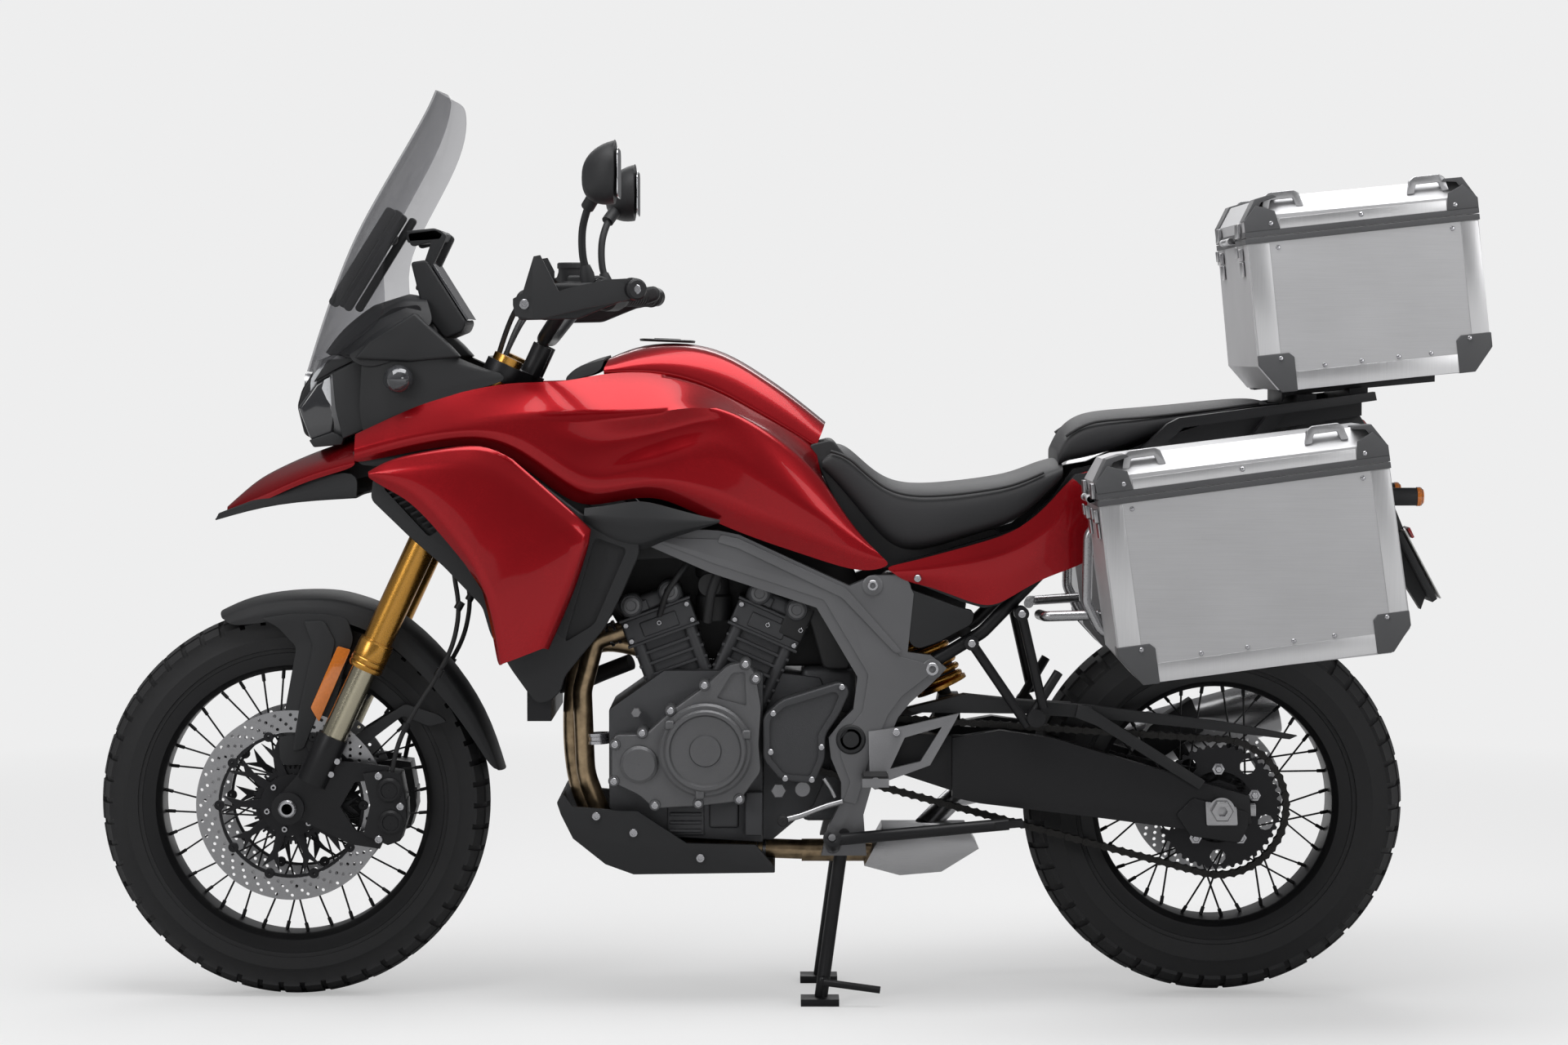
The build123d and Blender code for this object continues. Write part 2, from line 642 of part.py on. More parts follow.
shock_top = (188.0, 0.0, 700.0)
shock_foot = (279.0, 0.0, 498.0)
with BuildPart() as shock:
    run = Vector(*shock_foot) - Vector(*shock_top)
    point = [tuple(Vector(*shock_top) + run * t) for t in (0.0, 0.30, 0.42, 0.86, 1.0)]
    bar(point[0], point[4], 11.0)
    bar(point[1], point[2], 30.0)
    bar(point[2], point[3], 33.0)
    add(frame.part, mode=Mode.SUBTRACT)
    add(swingarm.part, mode=Mode.SUBTRACT)
finish(shock, "shock_absorber")

with BuildPart() as chain_guard:
    plate(
        [(205, 496), (300, 520), (395, 510), (503, 503), (734, 474), (856, 451), (843, 445), (700, 462), (544, 478),
         (400, 488), (215, 490)],
        108.5,
        122.0,
    )
    plate([(205, 496), (300, 520), (395, 510), (480, 505), (480, 490), (400, 495), (215, 491)], 84.0, 110.0)
    plate([(484, 484), (489, 504), (505, 502), (700, 378), (690, 364), (520, 470)], 140.0, 146.0)
    plate([(484, 484), (489, 504), (512, 500), (512, 480)], 115.0, 143.0)
    add(chain.part, mode=Mode.SUBTRACT)
    add(frame.part, mode=Mode.SUBTRACT)
finish(chain_guard, "chain_guard")

with BuildPart() as rear_caliper:
    plate(
        [(590, 392), (628, 448), (700, 496), (722, 440), (690, 420), (648, 392), (628, 350)],
        rear_disc_y - 24.0,
        rear_disc_y + 22.0,
    )
    disc(
        *rear_axle,
        rear_disc_radius + 5.5,
        rear_disc_y - caliper_slot / 2,
        rear_disc_y + caliper_slot / 2,
        Mode.SUBTRACT,
    )
    add(swingarm.part, mode=Mode.SUBTRACT)
finish(rear_caliper, "rear_caliper")

# ---------------------------------------------------------------- tank, seats and tail
# x, then half width and height of the foot, waist, shoulder, seam and crown
tank_table = [
    (-350, 150, 832, 164, 900, 150, 1010, 110, 1050, 60, 1078),
    (-250, 150, 848, 166, 930, 150, 1020, 110, 1058, 70, 1106),
    (-130, 150, 812, 160, 920, 145, 1000, 110, 1046, 75, 1110),
    (0, 150, 768, 152, 860, 135, 930, 100, 978, 60, 1037),
    (175, 150, 727, 145, 775, 128, 830, 95, 862, 55, 890),
]
with BuildPart() as tank:
    sections = []
    for x, *rest in tank_table:
        half = list(zip(rest[0::2], rest[1::2]))
        with BuildSketch(Plane.YZ.offset(x)) as section:
            Polygon(*half, *[(-y, z) for y, z in reversed(half)], align=None)
        sections.append(section.sketch)
    loft(sections, ruled=True)
    # the rear edge, against the seat
    plate([(61, 1000), (61, 917), (51, 897), (101, 823), (169, 751), (190, 730), (240, 700), (240, 1000)], -200.0, 200.0, Mode.SUBTRACT)
    # the space that the fork and bar sweep
    bar(on_stem(head_low - 60), on_stem(upper_yoke + 150), sweep_radius, Mode.SUBTRACT)
    add(frame.part, mode=Mode.SUBTRACT)
finish(tank, "fuel_tank")

with BuildPart() as rider_seat:
    plate(
        [(61, 917), (70, 936), (104, 933), (138, 901), (173, 875), (214, 868), (332, 878), (387, 887), (442, 912),
         (470, 910), *reversed(seat_base), (101, 823), (51, 897)],
        -160.0,
        160.0,
    )
    plan_cut([(40, -100), (150, -118), (260, -150), (420, -155), (490, -140)], 700, 1000)
    add(tank.part, mode=Mode.SUBTRACT)
    add(subframe.part, mode=Mode.SUBTRACT)
    add(frame.part, mode=Mode.SUBTRACT)
finish(rider_seat, "rider_seat")

with BuildPart() as passenger_seat:
    plate(
        [(456, 925), (470, 961), (498, 986), (608, 995), (747, 1009), (788, 1013), (809, 1006), *reversed(pillion_base),
         (470, 911)],
        -150.0,
        150.0,
    )
    plan_cut([(440, -130), (520, -146), (820, -110)], 800, 1100)
    add(rider_seat.part, mode=Mode.SUBTRACT)
    add(subframe.part, mode=Mode.SUBTRACT)
finish(passenger_seat, "passenger_seat")

with BuildPart() as tail:
    plate(
        [(166, 728), (203, 741), (257, 755), (392, 795), (446, 847), (480, 893), (560, 905), (700, 925), (700, 880),
         (560, 850), (506, 795), (486, 728), (419, 711), (358, 667), (331, 660), (297, 670)],
        118.0,
        150.0,
    )
    mirror(about=Plane.XZ)
    add(frame.part, mode=Mode.SUBTRACT)
    add(tank.part, mode=Mode.SUBTRACT)
    add(subframe.part, mode=Mode.SUBTRACT)
    add(rider_seat.part, mode=Mode.SUBTRACT)
    add(passenger_seat.part, mode=Mode.SUBTRACT)
finish(tail, "tail_panels")

# ---------------------------------------------------------------- fairing
with BuildPart() as wings:
    plate(
        [(-709, 908), (-709, 923), (-662, 957), (-621, 991), (-554, 1009), (-466, 1041), (-350, 1048), (-350, 815),
         (-418, 880), (-499, 918), (-600, 905)],
        wing_inner,
        wing_outer,
    )
    # the red panel on each side, outside the duct
    plate(
        [(-683, 883), (-683, 893), (-646, 917), (-495, 943), (-446, 917), (-317, 806), (-310, 793), (-326, 733),
         (-359, 653), (-386, 604), (-469, 573), (-479, 653), (-493, 713), (-533, 757), (-612, 846)],
        duct_outer,
        cowl_outer,
    )
    plan_cut([(-720, -200), (-660, -205), (-470, -cowl_outer), (-300, -225)], 500, 1100)
    mirror(about=Plane.XZ)
    add(tank.part, mode=Mode.SUBTRACT)
    add(frame.part, mode=Mode.SUBTRACT)
finish(wings, "side_fairings")

with BuildPart() as ducts:
    plate(
        [(-330, 820), (-215, 840), (-107, 806), (-215, 777), (-235, 757), (-262, 676), (-295, 609), (-349, 549),
         (-387, 511), (-409, 510), (-450, 566), (-484, 624), (-495, 671), (-561, 738), (-615, 785), (-688, 852),
         (-683, 890), (-500, 935), (-420, 905)],
        wing_outer,
        duct_outer,
    )
    mirror(about=Plane.XZ)
    add(tank.part, mode=Mode.SUBTRACT)
finish(ducts, "radiator_ducts")

# x, half width, top, bottom
beak_table = [(-947, 20, 829, 821), (-850, 80, 902, 856), (-709, wing_outer, 945, 908)]
with BuildPart() as beak:
    sections = []
    for x, half, top, bottom in beak_table:
        with BuildSketch(Plane.YZ.offset(x)) as section:
            Polygon((-half, bottom), (half, bottom), (0.75 * half, top), (-0.75 * half, top), align=None)
        sections.append(section.sketch)
    loft(sections, ruled=True)
finish(beak, "beak")

# height, middle x, side x, half width
screen_table = [
    (1062, -803, -770, 110),
    (1230, -757, -663, 215),
    (1390, -683, -577, 232),
    (1534, -586, -548, 140),
]
screen_thickness = 4.0
with BuildPart() as screen:
    sections = []
    for z, middle, side, half in screen_table:
        with BuildSketch(Plane.XY.offset(z)) as section:
            with BuildLine():
                ThreePointArc((side, -half), (middle, 0), (side, half))
                Line((side, half), (side + screen_thickness, half - 2))
                ThreePointArc(
                    (side + screen_thickness, half - 2), (middle + screen_thickness, 0), (side + screen_thickness, 2 - half)
                )
                Line((side + screen_thickness, 2 - half), (side, -half))
            make_face()
        sections.append(section.sketch)
    loft(sections, ruled=True)
finish(screen, "windscreen")

with BuildPart() as headlamp:
    plate(
        [(-818, 995), (-803, 950), (-783, 940), (-742, 963), (-708, 958), (-667, 970), (-667, 1065), (-708, 1083),
         (-753, 1090), (-781, 1071), (-806, 1026)],
        -115.0,
        115.0,
    )
    plan_cut([(-825, -70), (-750, -112), (-660, -115)], 900, 1100)
    add(screen.part, mode=Mode.SUBTRACT)
finish(headlamp, "headlamp")

with BuildPart() as cowl:
    # over the lamp
    plate(
        [(-790, 1080), (-753, 1090), (-708, 1083), (-667, 1065), (-600, 1098), (-584, 1106), (-605, 1181), (-652, 1174),
         (-730, 1133)],
        -wing_inner,
        wing_inner,
    )
    # the sides, down to the fairing
    plate(
        [(-705, 1083), (-671, 1069), (-583, 1106), (-480, 1046), (-466, 1041), (-554, 1009), (-621, 991), (-662, 957),
         (-700, 928), (-708, 958)],
        wing_inner,
        wing_inner + 14,
    )
    plate(
        [(-705, 1083), (-671, 1069), (-583, 1106), (-480, 1046), (-466, 1041), (-554, 1009), (-621, 991), (-662, 957),
         (-700, 928), (-708, 958)],
        -wing_inner - 14,
        -wing_inner,
    )
    plan_cut([(-830, -60), (-700, -135), (-640, -162), (-450, -162)], 900, 1250)
    # screen struts and the brace above the display
    for y in (-60.0, 60.0):
        bar((-650, y, 1160), (-735, y, 1250), 7.0)
        bar((-640, y, 1160), (-600, y, 1290), 9.0)
        bar((-600, y, 1285), (-715, y, 1300), 7.0)
    bar((-600, -75, 1288), (-600, 75, 1288), 12.0)
    # black tray below the beak
    with BuildSketch(Plane.XZ.offset(-120)) as tray:
        Polygon((-965, 802), (-954, 818), (-850, 848), (-802, 885), (-712, 899), (-712, 850), (-816, 843), align=None)
    tray_part = extrude(tray.sketch, amount=240, dir=left, mode=Mode.PRIVATE)
    with BuildSketch(Plane.XY.offset(780)) as tray_plan:
        Polygon((-970, -12), (-712, -120), (-712, 120), (-970, 12), align=None)
    add(tray_part & extrude(tray_plan.sketch, amount=140, dir=(0, 0, 1), mode=Mode.PRIVATE))
    add(beak.part, mode=Mode.SUBTRACT)
    add(headlamp.part, mode=Mode.SUBTRACT)
    add(wings.part, mode=Mode.SUBTRACT)
    add(screen.part, mode=Mode.SUBTRACT)
    add(ducts.part, mode=Mode.SUBTRACT)
finish(cowl, "nose_cowl")

with BuildPart() as display:
    plate([(-618, 1240), (-590, 1238), (-532, 1133), (-566, 1118), (-600, 1160)], -95.0, 95.0)
    add(cowl.part, mode=Mode.SUBTRACT)
finish(display, "instrument_display")

# ---------------------------------------------------------------- luggage
top_box_outline = [(756, 1276), (756, 1317), (803, 1346), (1077, 1371), (1120, 1363), (1132, 1340), (1134, 1317),
                   (1153, 1116), (1151, 1092), (1124, 1058), (843, 1032), (809, 1028), (776, 1066)]
pannier_outline = [(494, 858), (494, 887), (513, 926), (532, 930), (923, 977), (945, 945), (949, 919), (984, 669),
                   (984, 657), (955, 618), (590, 576), (564, 569), (526, 612), (507, 746)]
# name, outline, inner y, outer y, seam's front and rear points, hinge ahead of the front edge
case_table = [
    ("top_box", top_box_outline, -top_box_half, top_box_half, (756, 1276), (1134, 1317)),
    ("left_pannier", pannier_outline, pannier_inner, pannier_outer, (494, 858), (949, 919)),
    ("right_pannier", pannier_outline, -pannier_outer, -pannier_inner, (494, 858), (949, 919)),
]
hinge_ahead = 8.0
knuckle_radius = 6.0
cases = {}
for name, outline, near, far, seam_front, seam_rear in case_table:
    seam_run = Vector(seam_rear[0] - seam_front[0], 0, seam_rear[1] - seam_front[1]).normalized()
    seam_up = Vector(-seam_run.Z, 0, seam_run.X)
    hinge = Vector(seam_front[0], 0, seam_front[1]) - seam_run * hinge_ahead
    middle = (near + far) / 2
    with BuildPart() as shell:
        plate(outline, near, far)
        with BuildSketch(Plane.XZ.offset(near + case_wall)) as room:
            Polygon(*outline, align=None)
            offset(amount=-case_wall, kind=Kind.INTERSECTION, mode=Mode.REPLACE)
        extrude(room.sketch, amount=far - near - 2 * case_wall, dir=left, mode=Mode.SUBTRACT)
    for piece, keep, sign, knuckles in (
        (name, Keep.BOTTOM, -1, ((-60, -31), (31, 60))),
        (f"{name}_lid", Keep.TOP, 1, ((-30, 30),)),
    ):
        lift = seam_up * (sign * seam_gap / 2)
        cut = Vector(seam_front[0], 0, seam_front[1]) + lift
        with BuildPart() as half_case:
            add(shell.part)
            split(bisect_by=Plane(origin=tuple(cut), z_dir=tuple(seam_up)), keep=keep)
            for start, end in knuckles:
                disc(hinge.X, hinge.Z, knuckle_radius, middle + start, middle + end)
                corner = hinge + seam_up * (sign * 1.0)
                strap = [
                    corner,
                    corner + seam_run * (hinge_ahead + 1.5),
                    corner + seam_run * (hinge_ahead + 1.5) + seam_up * (sign * 5.0),
                    corner + seam_up * (sign * 5.0),
                ]
                plate([(p.X, p.Z) for p in strap], middle + start, middle + end)
        finish(half_case, piece)
        cases[piece] = half_case.part

with BuildPart() as rack:
    plate(
        [(584, 925), (631, 972), (651, 982), (805, 1002), (973, 1025), (976, 1011), (805, 986), (658, 966), (606, 918)],
        150.0,
        178.0,
    )
    plate([(800, 986), (830, 990), (775, 915), (745, 915)], 118.0, 150.5)
    plate([(590, 930), (615, 955), (640, 940), (606, 912)], 118.0, 150.5)
    mirror(about=Plane.XZ)
    plate([(830, 1005), (836, 1018), (1085, 1041), (1085, 1056), (830, 1032)], -95.0, 95.0)
    plate([(850, 992), (850, 1020), (880, 1022), (880, 995)], -150.5, 150.5)
    plate([(935, 1005), (935, 1030), (965, 1033), (965, 1009)], -150.5, 150.5)
    add(cases["top_box"], mode=Mode.SUBTRACT)
    add(subframe.part, mode=Mode.SUBTRACT)
    add(tail.part, mode=Mode.SUBTRACT)
    add(passenger_seat.part, mode=Mode.SUBTRACT)
finish(rack, "luggage_rack")

rack_y = 223.0
with BuildPart() as pannier_rack:
    bent_tube(
        [(540, -rack_y, 850), (498, -rack_y, 790), (496, -rack_y, 680), (520, -rack_y, 632), (600, -rack_y, 620),
         (930, -rack_y, 655), (905, -rack_y, 890), (560, -rack_y, 852)],
        8.5,
        [20, 30, 25, 20, 30, 20],
    )
    bent_tube([(424, -140, 655), (430, -200, 656), (515, -rack_y + 4, 660)], 8.5, 12.0)
    bar((860, -rack_y, 880), (860, -110, 955), 8.5)
    bar((640, -rack_y, 862), (640, -110, 925), 8.5)
    mirror(about=Plane.XZ)
    for piece in (subframe.part, tail.part, rack.part, cases["left_pannier"], cases["right_pannier"]):
        add(piece, mode=Mode.SUBTRACT)
finish(pannier_rack, "pannier_rack")

# ---------------------------------------------------------------- footrests and tail fittings
with BuildPart() as footrests:
    # heel guards with their brackets
    plate([(140, 462), (196, 470), (290, 492), (283, 478), (242, 406), (150, 372), (142, 392)], spar_outer, spar_outer + 12)
    plate([(176, 400), (200, 452), (262, 470), (226, 412)], spar_outer - 1, spar_outer + 13, Mode.SUBTRACT)
    bar((150, -spar_outer, 385), (150, -(spar_outer + 90), 385), 9.0)
    plate([(128, 392), (172, 392), (172, 378), (128, 378)], spar_outer + 12, spar_outer + 90)
    # passenger brackets
    for start, end in (((311, 608), (405, 470)), ((394, 657), (430, 500)), ((405, 478), (455, 560))):
        bar((start[0], -(spar_outer - 8), start[1]), (end[0], -(spar_outer + 4), end[1]), 8.0)
    for x, z, near, far in ((311, 608, 118, 158), (394, 657, 118, 158)):
        disc(x, z, 12.0, near, far)
    disc(418, 484, 15.0, spar_outer - 12, spar_outer + 16)
    mirror(about=Plane.XZ)
    for piece in (frame.part, subframe.part, tail.part, swingarm.part, pannier_rack.part):
        add(piece, mode=Mode.SUBTRACT)
finish(footrests, "footrests")

with BuildPart() as tail_fittings:
    plate([(900, 985), (960, 985), (975, 960), (950, 935), (900, 925)], -96.0, 96.0)
    plate([(955, 950), (1016, 868), (1090, 690), (1078, 655), (1030, 730), (1004, 850), (940, 925)], -14.0, 14.0)
    plate([(1030, 784), (1037, 790), (1098, 676), (1090, 670)], -60.0, 60.0)
    for side in (-1, 1):
        bar((1004, side * 10, 862), (1010, side * 100, 852), 7.0)
        bar((1000, side * 118, 850), (1060, side * 118, 850), 15.0)
        bar((1012, side * 96, 851), (1012, side * 118, 850), 7.0)
    for piece in (subframe.part, rack.part, cases["left_pannier"], cases["right_pannier"], cases["top_box"]):
        add(piece, mode=Mode.SUBTRACT)
finish(tail_fittings, "tail_lamp_and_plate")

# ---------------------------------------------------------------- stands
with BuildPart() as centre_stand:
    disc(*stand_pivot, 9.0, -spar_outer, spar_outer)
    disc(*stand_pivot, 14.0, -spar_inner + 1, spar_inner - 1)
    leg_run = Vector(stand_foot[0] - stand_pivot[0], 0, stand_foot[1] - stand_pivot[1])
    for side in (-1, 1):
        bar((stand_pivot[0], side * 105, stand_pivot[1]), (stand_foot[0] + 2, side * 112, 12), 11.0)
        with Locations((stand_foot[0], side * 118, 0)):
            Box(64, 52, 12, align=(Align.CENTER, Align.CENTER, Align.MIN))
    along = Vector(*[c / leg_run.length for c in leg_run])
    across = Vector(-along.Z, 0, along.X)
    root = Vector(stand_pivot[0], -110, stand_pivot[1]) + along * 250
    knee = root + Vector(0, -42, 0)
    bar(tuple(root), tuple(knee), 6.0)
    bar(tuple(knee), tuple(knee + across * 95), 6.0)
finish(centre_stand, "centre_stand")

with BuildPart() as side_stand:
    bar(on_side_pin(-12.0), on_side_pin(12.0), 15.0)
    bar((side_stand_pivot[0], -side_stand_y, side_stand_pivot[1]), (372, -side_stand_y, 310), 10.0)
    with Locations(Plane(origin=(372, -side_stand_y, 310), x_dir=(1, 0, 0.09), z_dir=(0, -1, 0))):
        Box(46, 12, 24)
    bar(on_side_pin(-13.0), on_side_pin(13.0), 6.0 + axle_gap, Mode.SUBTRACT)
finish(side_stand, "side_stand")
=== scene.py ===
import math

import bpy
from mathutils import Matrix, Vector


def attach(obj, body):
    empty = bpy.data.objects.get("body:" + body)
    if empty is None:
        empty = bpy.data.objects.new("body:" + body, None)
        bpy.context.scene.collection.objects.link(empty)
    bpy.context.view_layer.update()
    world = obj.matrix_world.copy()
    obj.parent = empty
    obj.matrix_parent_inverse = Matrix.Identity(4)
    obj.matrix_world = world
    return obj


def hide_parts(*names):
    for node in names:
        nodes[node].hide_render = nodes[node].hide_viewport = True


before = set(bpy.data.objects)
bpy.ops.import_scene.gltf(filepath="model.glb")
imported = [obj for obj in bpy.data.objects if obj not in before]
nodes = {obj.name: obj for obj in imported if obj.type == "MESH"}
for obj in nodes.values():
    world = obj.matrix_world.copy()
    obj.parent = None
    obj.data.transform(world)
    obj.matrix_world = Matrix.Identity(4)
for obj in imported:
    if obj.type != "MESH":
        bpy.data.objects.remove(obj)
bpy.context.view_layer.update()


# ------------------------------------------------------------------ studio
# A pale floor that runs out into a pale backdrop, soft boxes above and at the
# sides, and a long lens at tank height, looking square at the machine's left.
studio_grey = (0.855, 0.855, 0.857, 1.0)


def put_tools_down():
    """Leaves edit mode with nothing selected, so that the next operator acts on its own piece alone."""
    if bpy.context.object and bpy.context.object.mode != "OBJECT":
        bpy.ops.object.mode_set(mode="OBJECT")
    bpy.ops.object.select_all(action="DESELECT")


def added(tree, kind, **values):
    """A new shader node, with values set on the inputs that are named."""
    node = tree.nodes.new("ShaderNode" + kind)
    for label, value in values.items():
        node.inputs[label.replace("_", " ")].default_value = value
    return node


def camera_ray_share(tree, plain, shown):
    """A shader that is plain for the light, and shown to the camera and to transmission rays."""
    link = tree.links.new
    rays = added(tree, "LightPath")
    seen = added(tree, "Math")
    seen.operation = "MAXIMUM"
    blend = added(tree, "MixShader")
    link(rays.outputs["Is Camera Ray"], seen.inputs[0])
    link(rays.outputs["Is Transmission Ray"], seen.inputs[1])
    link(seen.outputs[0], blend.inputs[0])
    link(plain, blend.inputs[1])
    link(shown, blend.inputs[2])
    return blend.outputs[0]


def backdrop_world():
    """Lights the scene from all round, and shows the camera one even grey."""
    world = bpy.data.worlds.new("studio_world")
    bpy.context.scene.world = world
    world.use_nodes = True
    tree = world.node_tree
    link = tree.links.new
    tree.nodes.clear()
    out = added(tree, "OutputWorld")
    place = added(tree, "TexCoord")
    split = added(tree, "SeparateXYZ")
    ramp = added(tree, "ValToRGB")
    light = added(tree, "Background", Strength=0.42)
    shown = added(tree, "Background", Color=studio_grey)
    link(place.outputs["Generated"], split.inputs[0])
    link(split.outputs["Z"], ramp.inputs[0])
    ramp.color_ramp.elements[0].position = 0.0
    ramp.color_ramp.elements[0].color = (0.30, 0.30, 0.31, 1.0)
    ramp.color_ramp.elements[1].position = 0.75
    ramp.color_ramp.elements[1].color = (0.95, 0.95, 0.96, 1.0)
    link(ramp.outputs[0], light.inputs["Color"])
    link(camera_ray_share(tree, light.outputs[0], shown.outputs[0]), out.inputs[0])


def floor_finish():
    """Takes the machine's shadow, and is lifted to the backdrop's grey where the camera sees it."""
    material = bpy.data.materials.new("studio_floor")
    material.use_nodes = True
    tree = material.node_tree
    link = tree.links.new
    tree.nodes.clear()
    out = added(tree, "OutputMaterial")
    lit = added(tree, "BsdfDiffuse", Color=(0.50, 0.50, 0.50, 1.0))
    lift = added(tree, "Emission", Color=(1.0, 1.0, 1.0, 1.0), Strength=0.40)
    both = added(tree, "AddShader")
    far = added(tree, "Emission", Color=studio_grey)
    place = added(tree, "TexCoord")
    distance = added(tree, "VectorMath")
    distance.operation = "LENGTH"
    fade = added(tree, "MapRange", From_Min=1.3, From_Max=4.5)
    run_out = added(tree, "MixShader")
    link(place.outputs["Object"], distance.inputs[0])
    link(distance.outputs["Value"], fade.inputs["Value"])
    link(lit.outputs[0], both.inputs[0])
    link(lift.outputs[0], both.inputs[1])
    shown = camera_ray_share(tree, lit.outputs[0], both.outputs[0])
    link(fade.outputs["Result"], run_out.inputs[0])
    link(shown, run_out.inputs[1])
    link(far.outputs[0], run_out.inputs[2])
    link(run_out.outputs[0], out.inputs[0])
    return material


def soft_box(name, place, aim, size, watts):
    """A rectangular soft light, facing its aim."""
    put_tools_down()
    bpy.ops.object.light_add(type="AREA", location=place)
    lamp = bpy.context.object
    lamp.name = name
    lamp.data.shape = "RECTANGLE"
    lamp.data.size, lamp.data.size_y = size
    lamp.data.energy = watts
    lamp.rotation_euler = (Vector(aim) - Vector(place)).to_track_quat("-Z", "Y").to_euler()


put_tools_down()
bpy.ops.mesh.primitive_plane_add(size=90, location=(0, 0, 0))
floor = bpy.context.object
floor.name = "studio_floor"
floor.data.materials.append(floor_finish())
backdrop_world()
soft_box("overhead", (0.2, -0.5, 3.4), (0, 0, 0.5), (3.6, 1.6), 80)
soft_box("front_left", (-3.2, -3.4, 2.6), (-0.3, 0, 0.7), (1.6, 1.6), 36)
soft_box("rear_left", (3.2, -3.6, 2.2), (0.4, 0, 0.6), (1.4, 1.8), 24)
soft_box("far_side", (0.0, 3.4, 2.8), (0, 0, 0.7), (3.0, 1.2), 34)

lens_height, lens_distance, looking_down, focal_length, sensor_width = 1.099, 6.5, 2.62, 88.15, 36.0
bpy.ops.object.camera_add(location=(0, -lens_distance, lens_height), rotation=(math.radians(90 - looking_down), 0, 0))
camera = bpy.context.object
camera.data.lens, camera.data.sensor_width = focal_length, sensor_width
bpy.context.scene.camera = camera
bpy.context.scene.view_settings.view_transform = "Standard"


# ------------------------------------------------------------------ tyres
# Dual-sport tyres of black rubber: a round carcass with open shoulder lugs and
# staggered centre blocks, moulded rings on the side wall, seated on the rim.
mm = 0.001
weld = 0.02 * mm
front_axle = (-0.828, 0.3293)
rear_axle = (0.727, 0.3289)


def open_mesh(action="SELECT"):
    """Goes into edit mode on the active piece, with all of its mesh selected, or none."""
    bpy.ops.object.mode_set(mode="EDIT")
    bpy.ops.mesh.select_all(action=action)


def close_mesh():
    """Goes back to object mode, where the changed mesh can be read."""
    bpy.ops.object.mode_set(mode="OBJECT")


def turned_piece(name, profile, centre, aim=(0, 1, 0), steps=64):
    """Spins a closed half section of (radius, along) in mm around an axis through centre."""
    put_tools_down()
    bpy.ops.mesh.primitive_circle_add(vertices=len(profile), fill_type="NOTHING")
    piece = bpy.context.object
    piece.name = name
    origin, axis = Vector(centre), Vector(aim).normalized()
    outward = Vector((1, 0, 0)) if abs(axis.x) < 0.5 else Vector((0, 1, 0))
    outward = (outward - axis * outward.dot(axis)).normalized()
    for corner, (radius, along) in zip(piece.data.vertices, profile):
        corner.co = origin + outward * radius * mm + axis * along * mm
    open_mesh()
    bpy.ops.mesh.spin(steps=steps, angle=2 * math.pi, center=origin, axis=axis)
    bpy.ops.mesh.select_all(action="SELECT")
    bpy.ops.mesh.remove_doubles(threshold=weld)
    bpy.ops.mesh.normals_make_consistent(inside=False)
    close_mesh()
    return piece


def choose(piece, kind, wanted):
    """Selects the faces or edges that the test wants, ready for an edit-mode step."""
    bpy.ops.object.mode_set(mode="EDIT")
    bpy.ops.mesh.select_mode(type=kind)
    bpy.ops.mesh.select_all(action="DESELECT")
    close_mesh()
    for item in piece.data.polygons if kind == "FACE" else piece.data.edges:
        item.select = wanted(item)
    bpy.ops.object.mode_set(mode="EDIT")


def hold(piece):
    """Makes a piece the only one that the next operator acts on."""
    put_tools_down()
    piece.select_set(True)
    bpy.context.view_layer.objects.active = piece


def fitted(piece, material, body, slot, *replaced, smooth=32):
    """Gives a finished piece the material, where one is given, in place of its own, and the body that it rides on."""
    hold(piece)
    bpy.ops.object.transform_apply(location=True, rotation=True, scale=True)
    bpy.ops.object.shade_smooth_by_angle(angle=math.radians(smooth))
    if material:
        piece.data.materials.clear()
        piece.data.materials.append(material)
    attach(piece, body)
    if replaced:
        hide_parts(*replaced)
    return piece


def dual_sport_tyre(name, axle, radius, width, bead, lugs):
    """Carcass first, then every lug raised from it."""
    half, tread = width / 2, 6.0
    tread_share, shoulder, block_end, centre_line = 0.80, 0.64, 0.56, 0.12
    base = radius - tread
    edge, side = base - 0.16 * width + 3, 0.45 * radius + 0.55 * bead
    wall = [(bead - 4, 0.36 * width), (bead + 9, 0.37 * width), (bead + 14, 0.43 * width), (bead + 20, 0.44 * width),
        (bead + 21, 0.465 * width), (side - 6, half - 2), (side, half - 1.2), (side + 2, half - 2.2),
        (edge - 22, half - 4), (edge - 4, 0.44 * width)]
    crown = [(base - 0.155 * width * share**2, share * tread_share * half)
        for share in (1.0, shoulder, block_end, centre_line)]
    half_section = wall + crown
    section = half_section + [(r, -y) for r, y in reversed(half_section)]
    centre = (axle[0], 0, axle[1])
    tyre = turned_piece(name, section, centre, steps=4 * lugs)

    def lug(face):
        place = face.center
        turn = math.atan2(place.z - centre[2], place.x - centre[0]) / (2 * math.pi) * 4 * lugs
        share = abs(place.y) / (tread_share * half * mm)
        high = math.hypot(place.x - centre[0], place.z - centre[2]) / mm
        if high < edge - 12:
            return False
        if share > shoulder:
            return math.floor(turn) % 4 < 3
        if centre_line < share < block_end:
            return math.floor(turn + (2 if place.y > 0 else 0)) % 4 < 3
        return share < centre_line and math.floor(turn) % 8 < 6

    choose(tyre, "FACE", lug)
    bpy.ops.mesh.extrude_region_shrink_fatten(TRANSFORM_OT_shrink_fatten={"value": tread * mm})
    close_mesh()
    return tyre


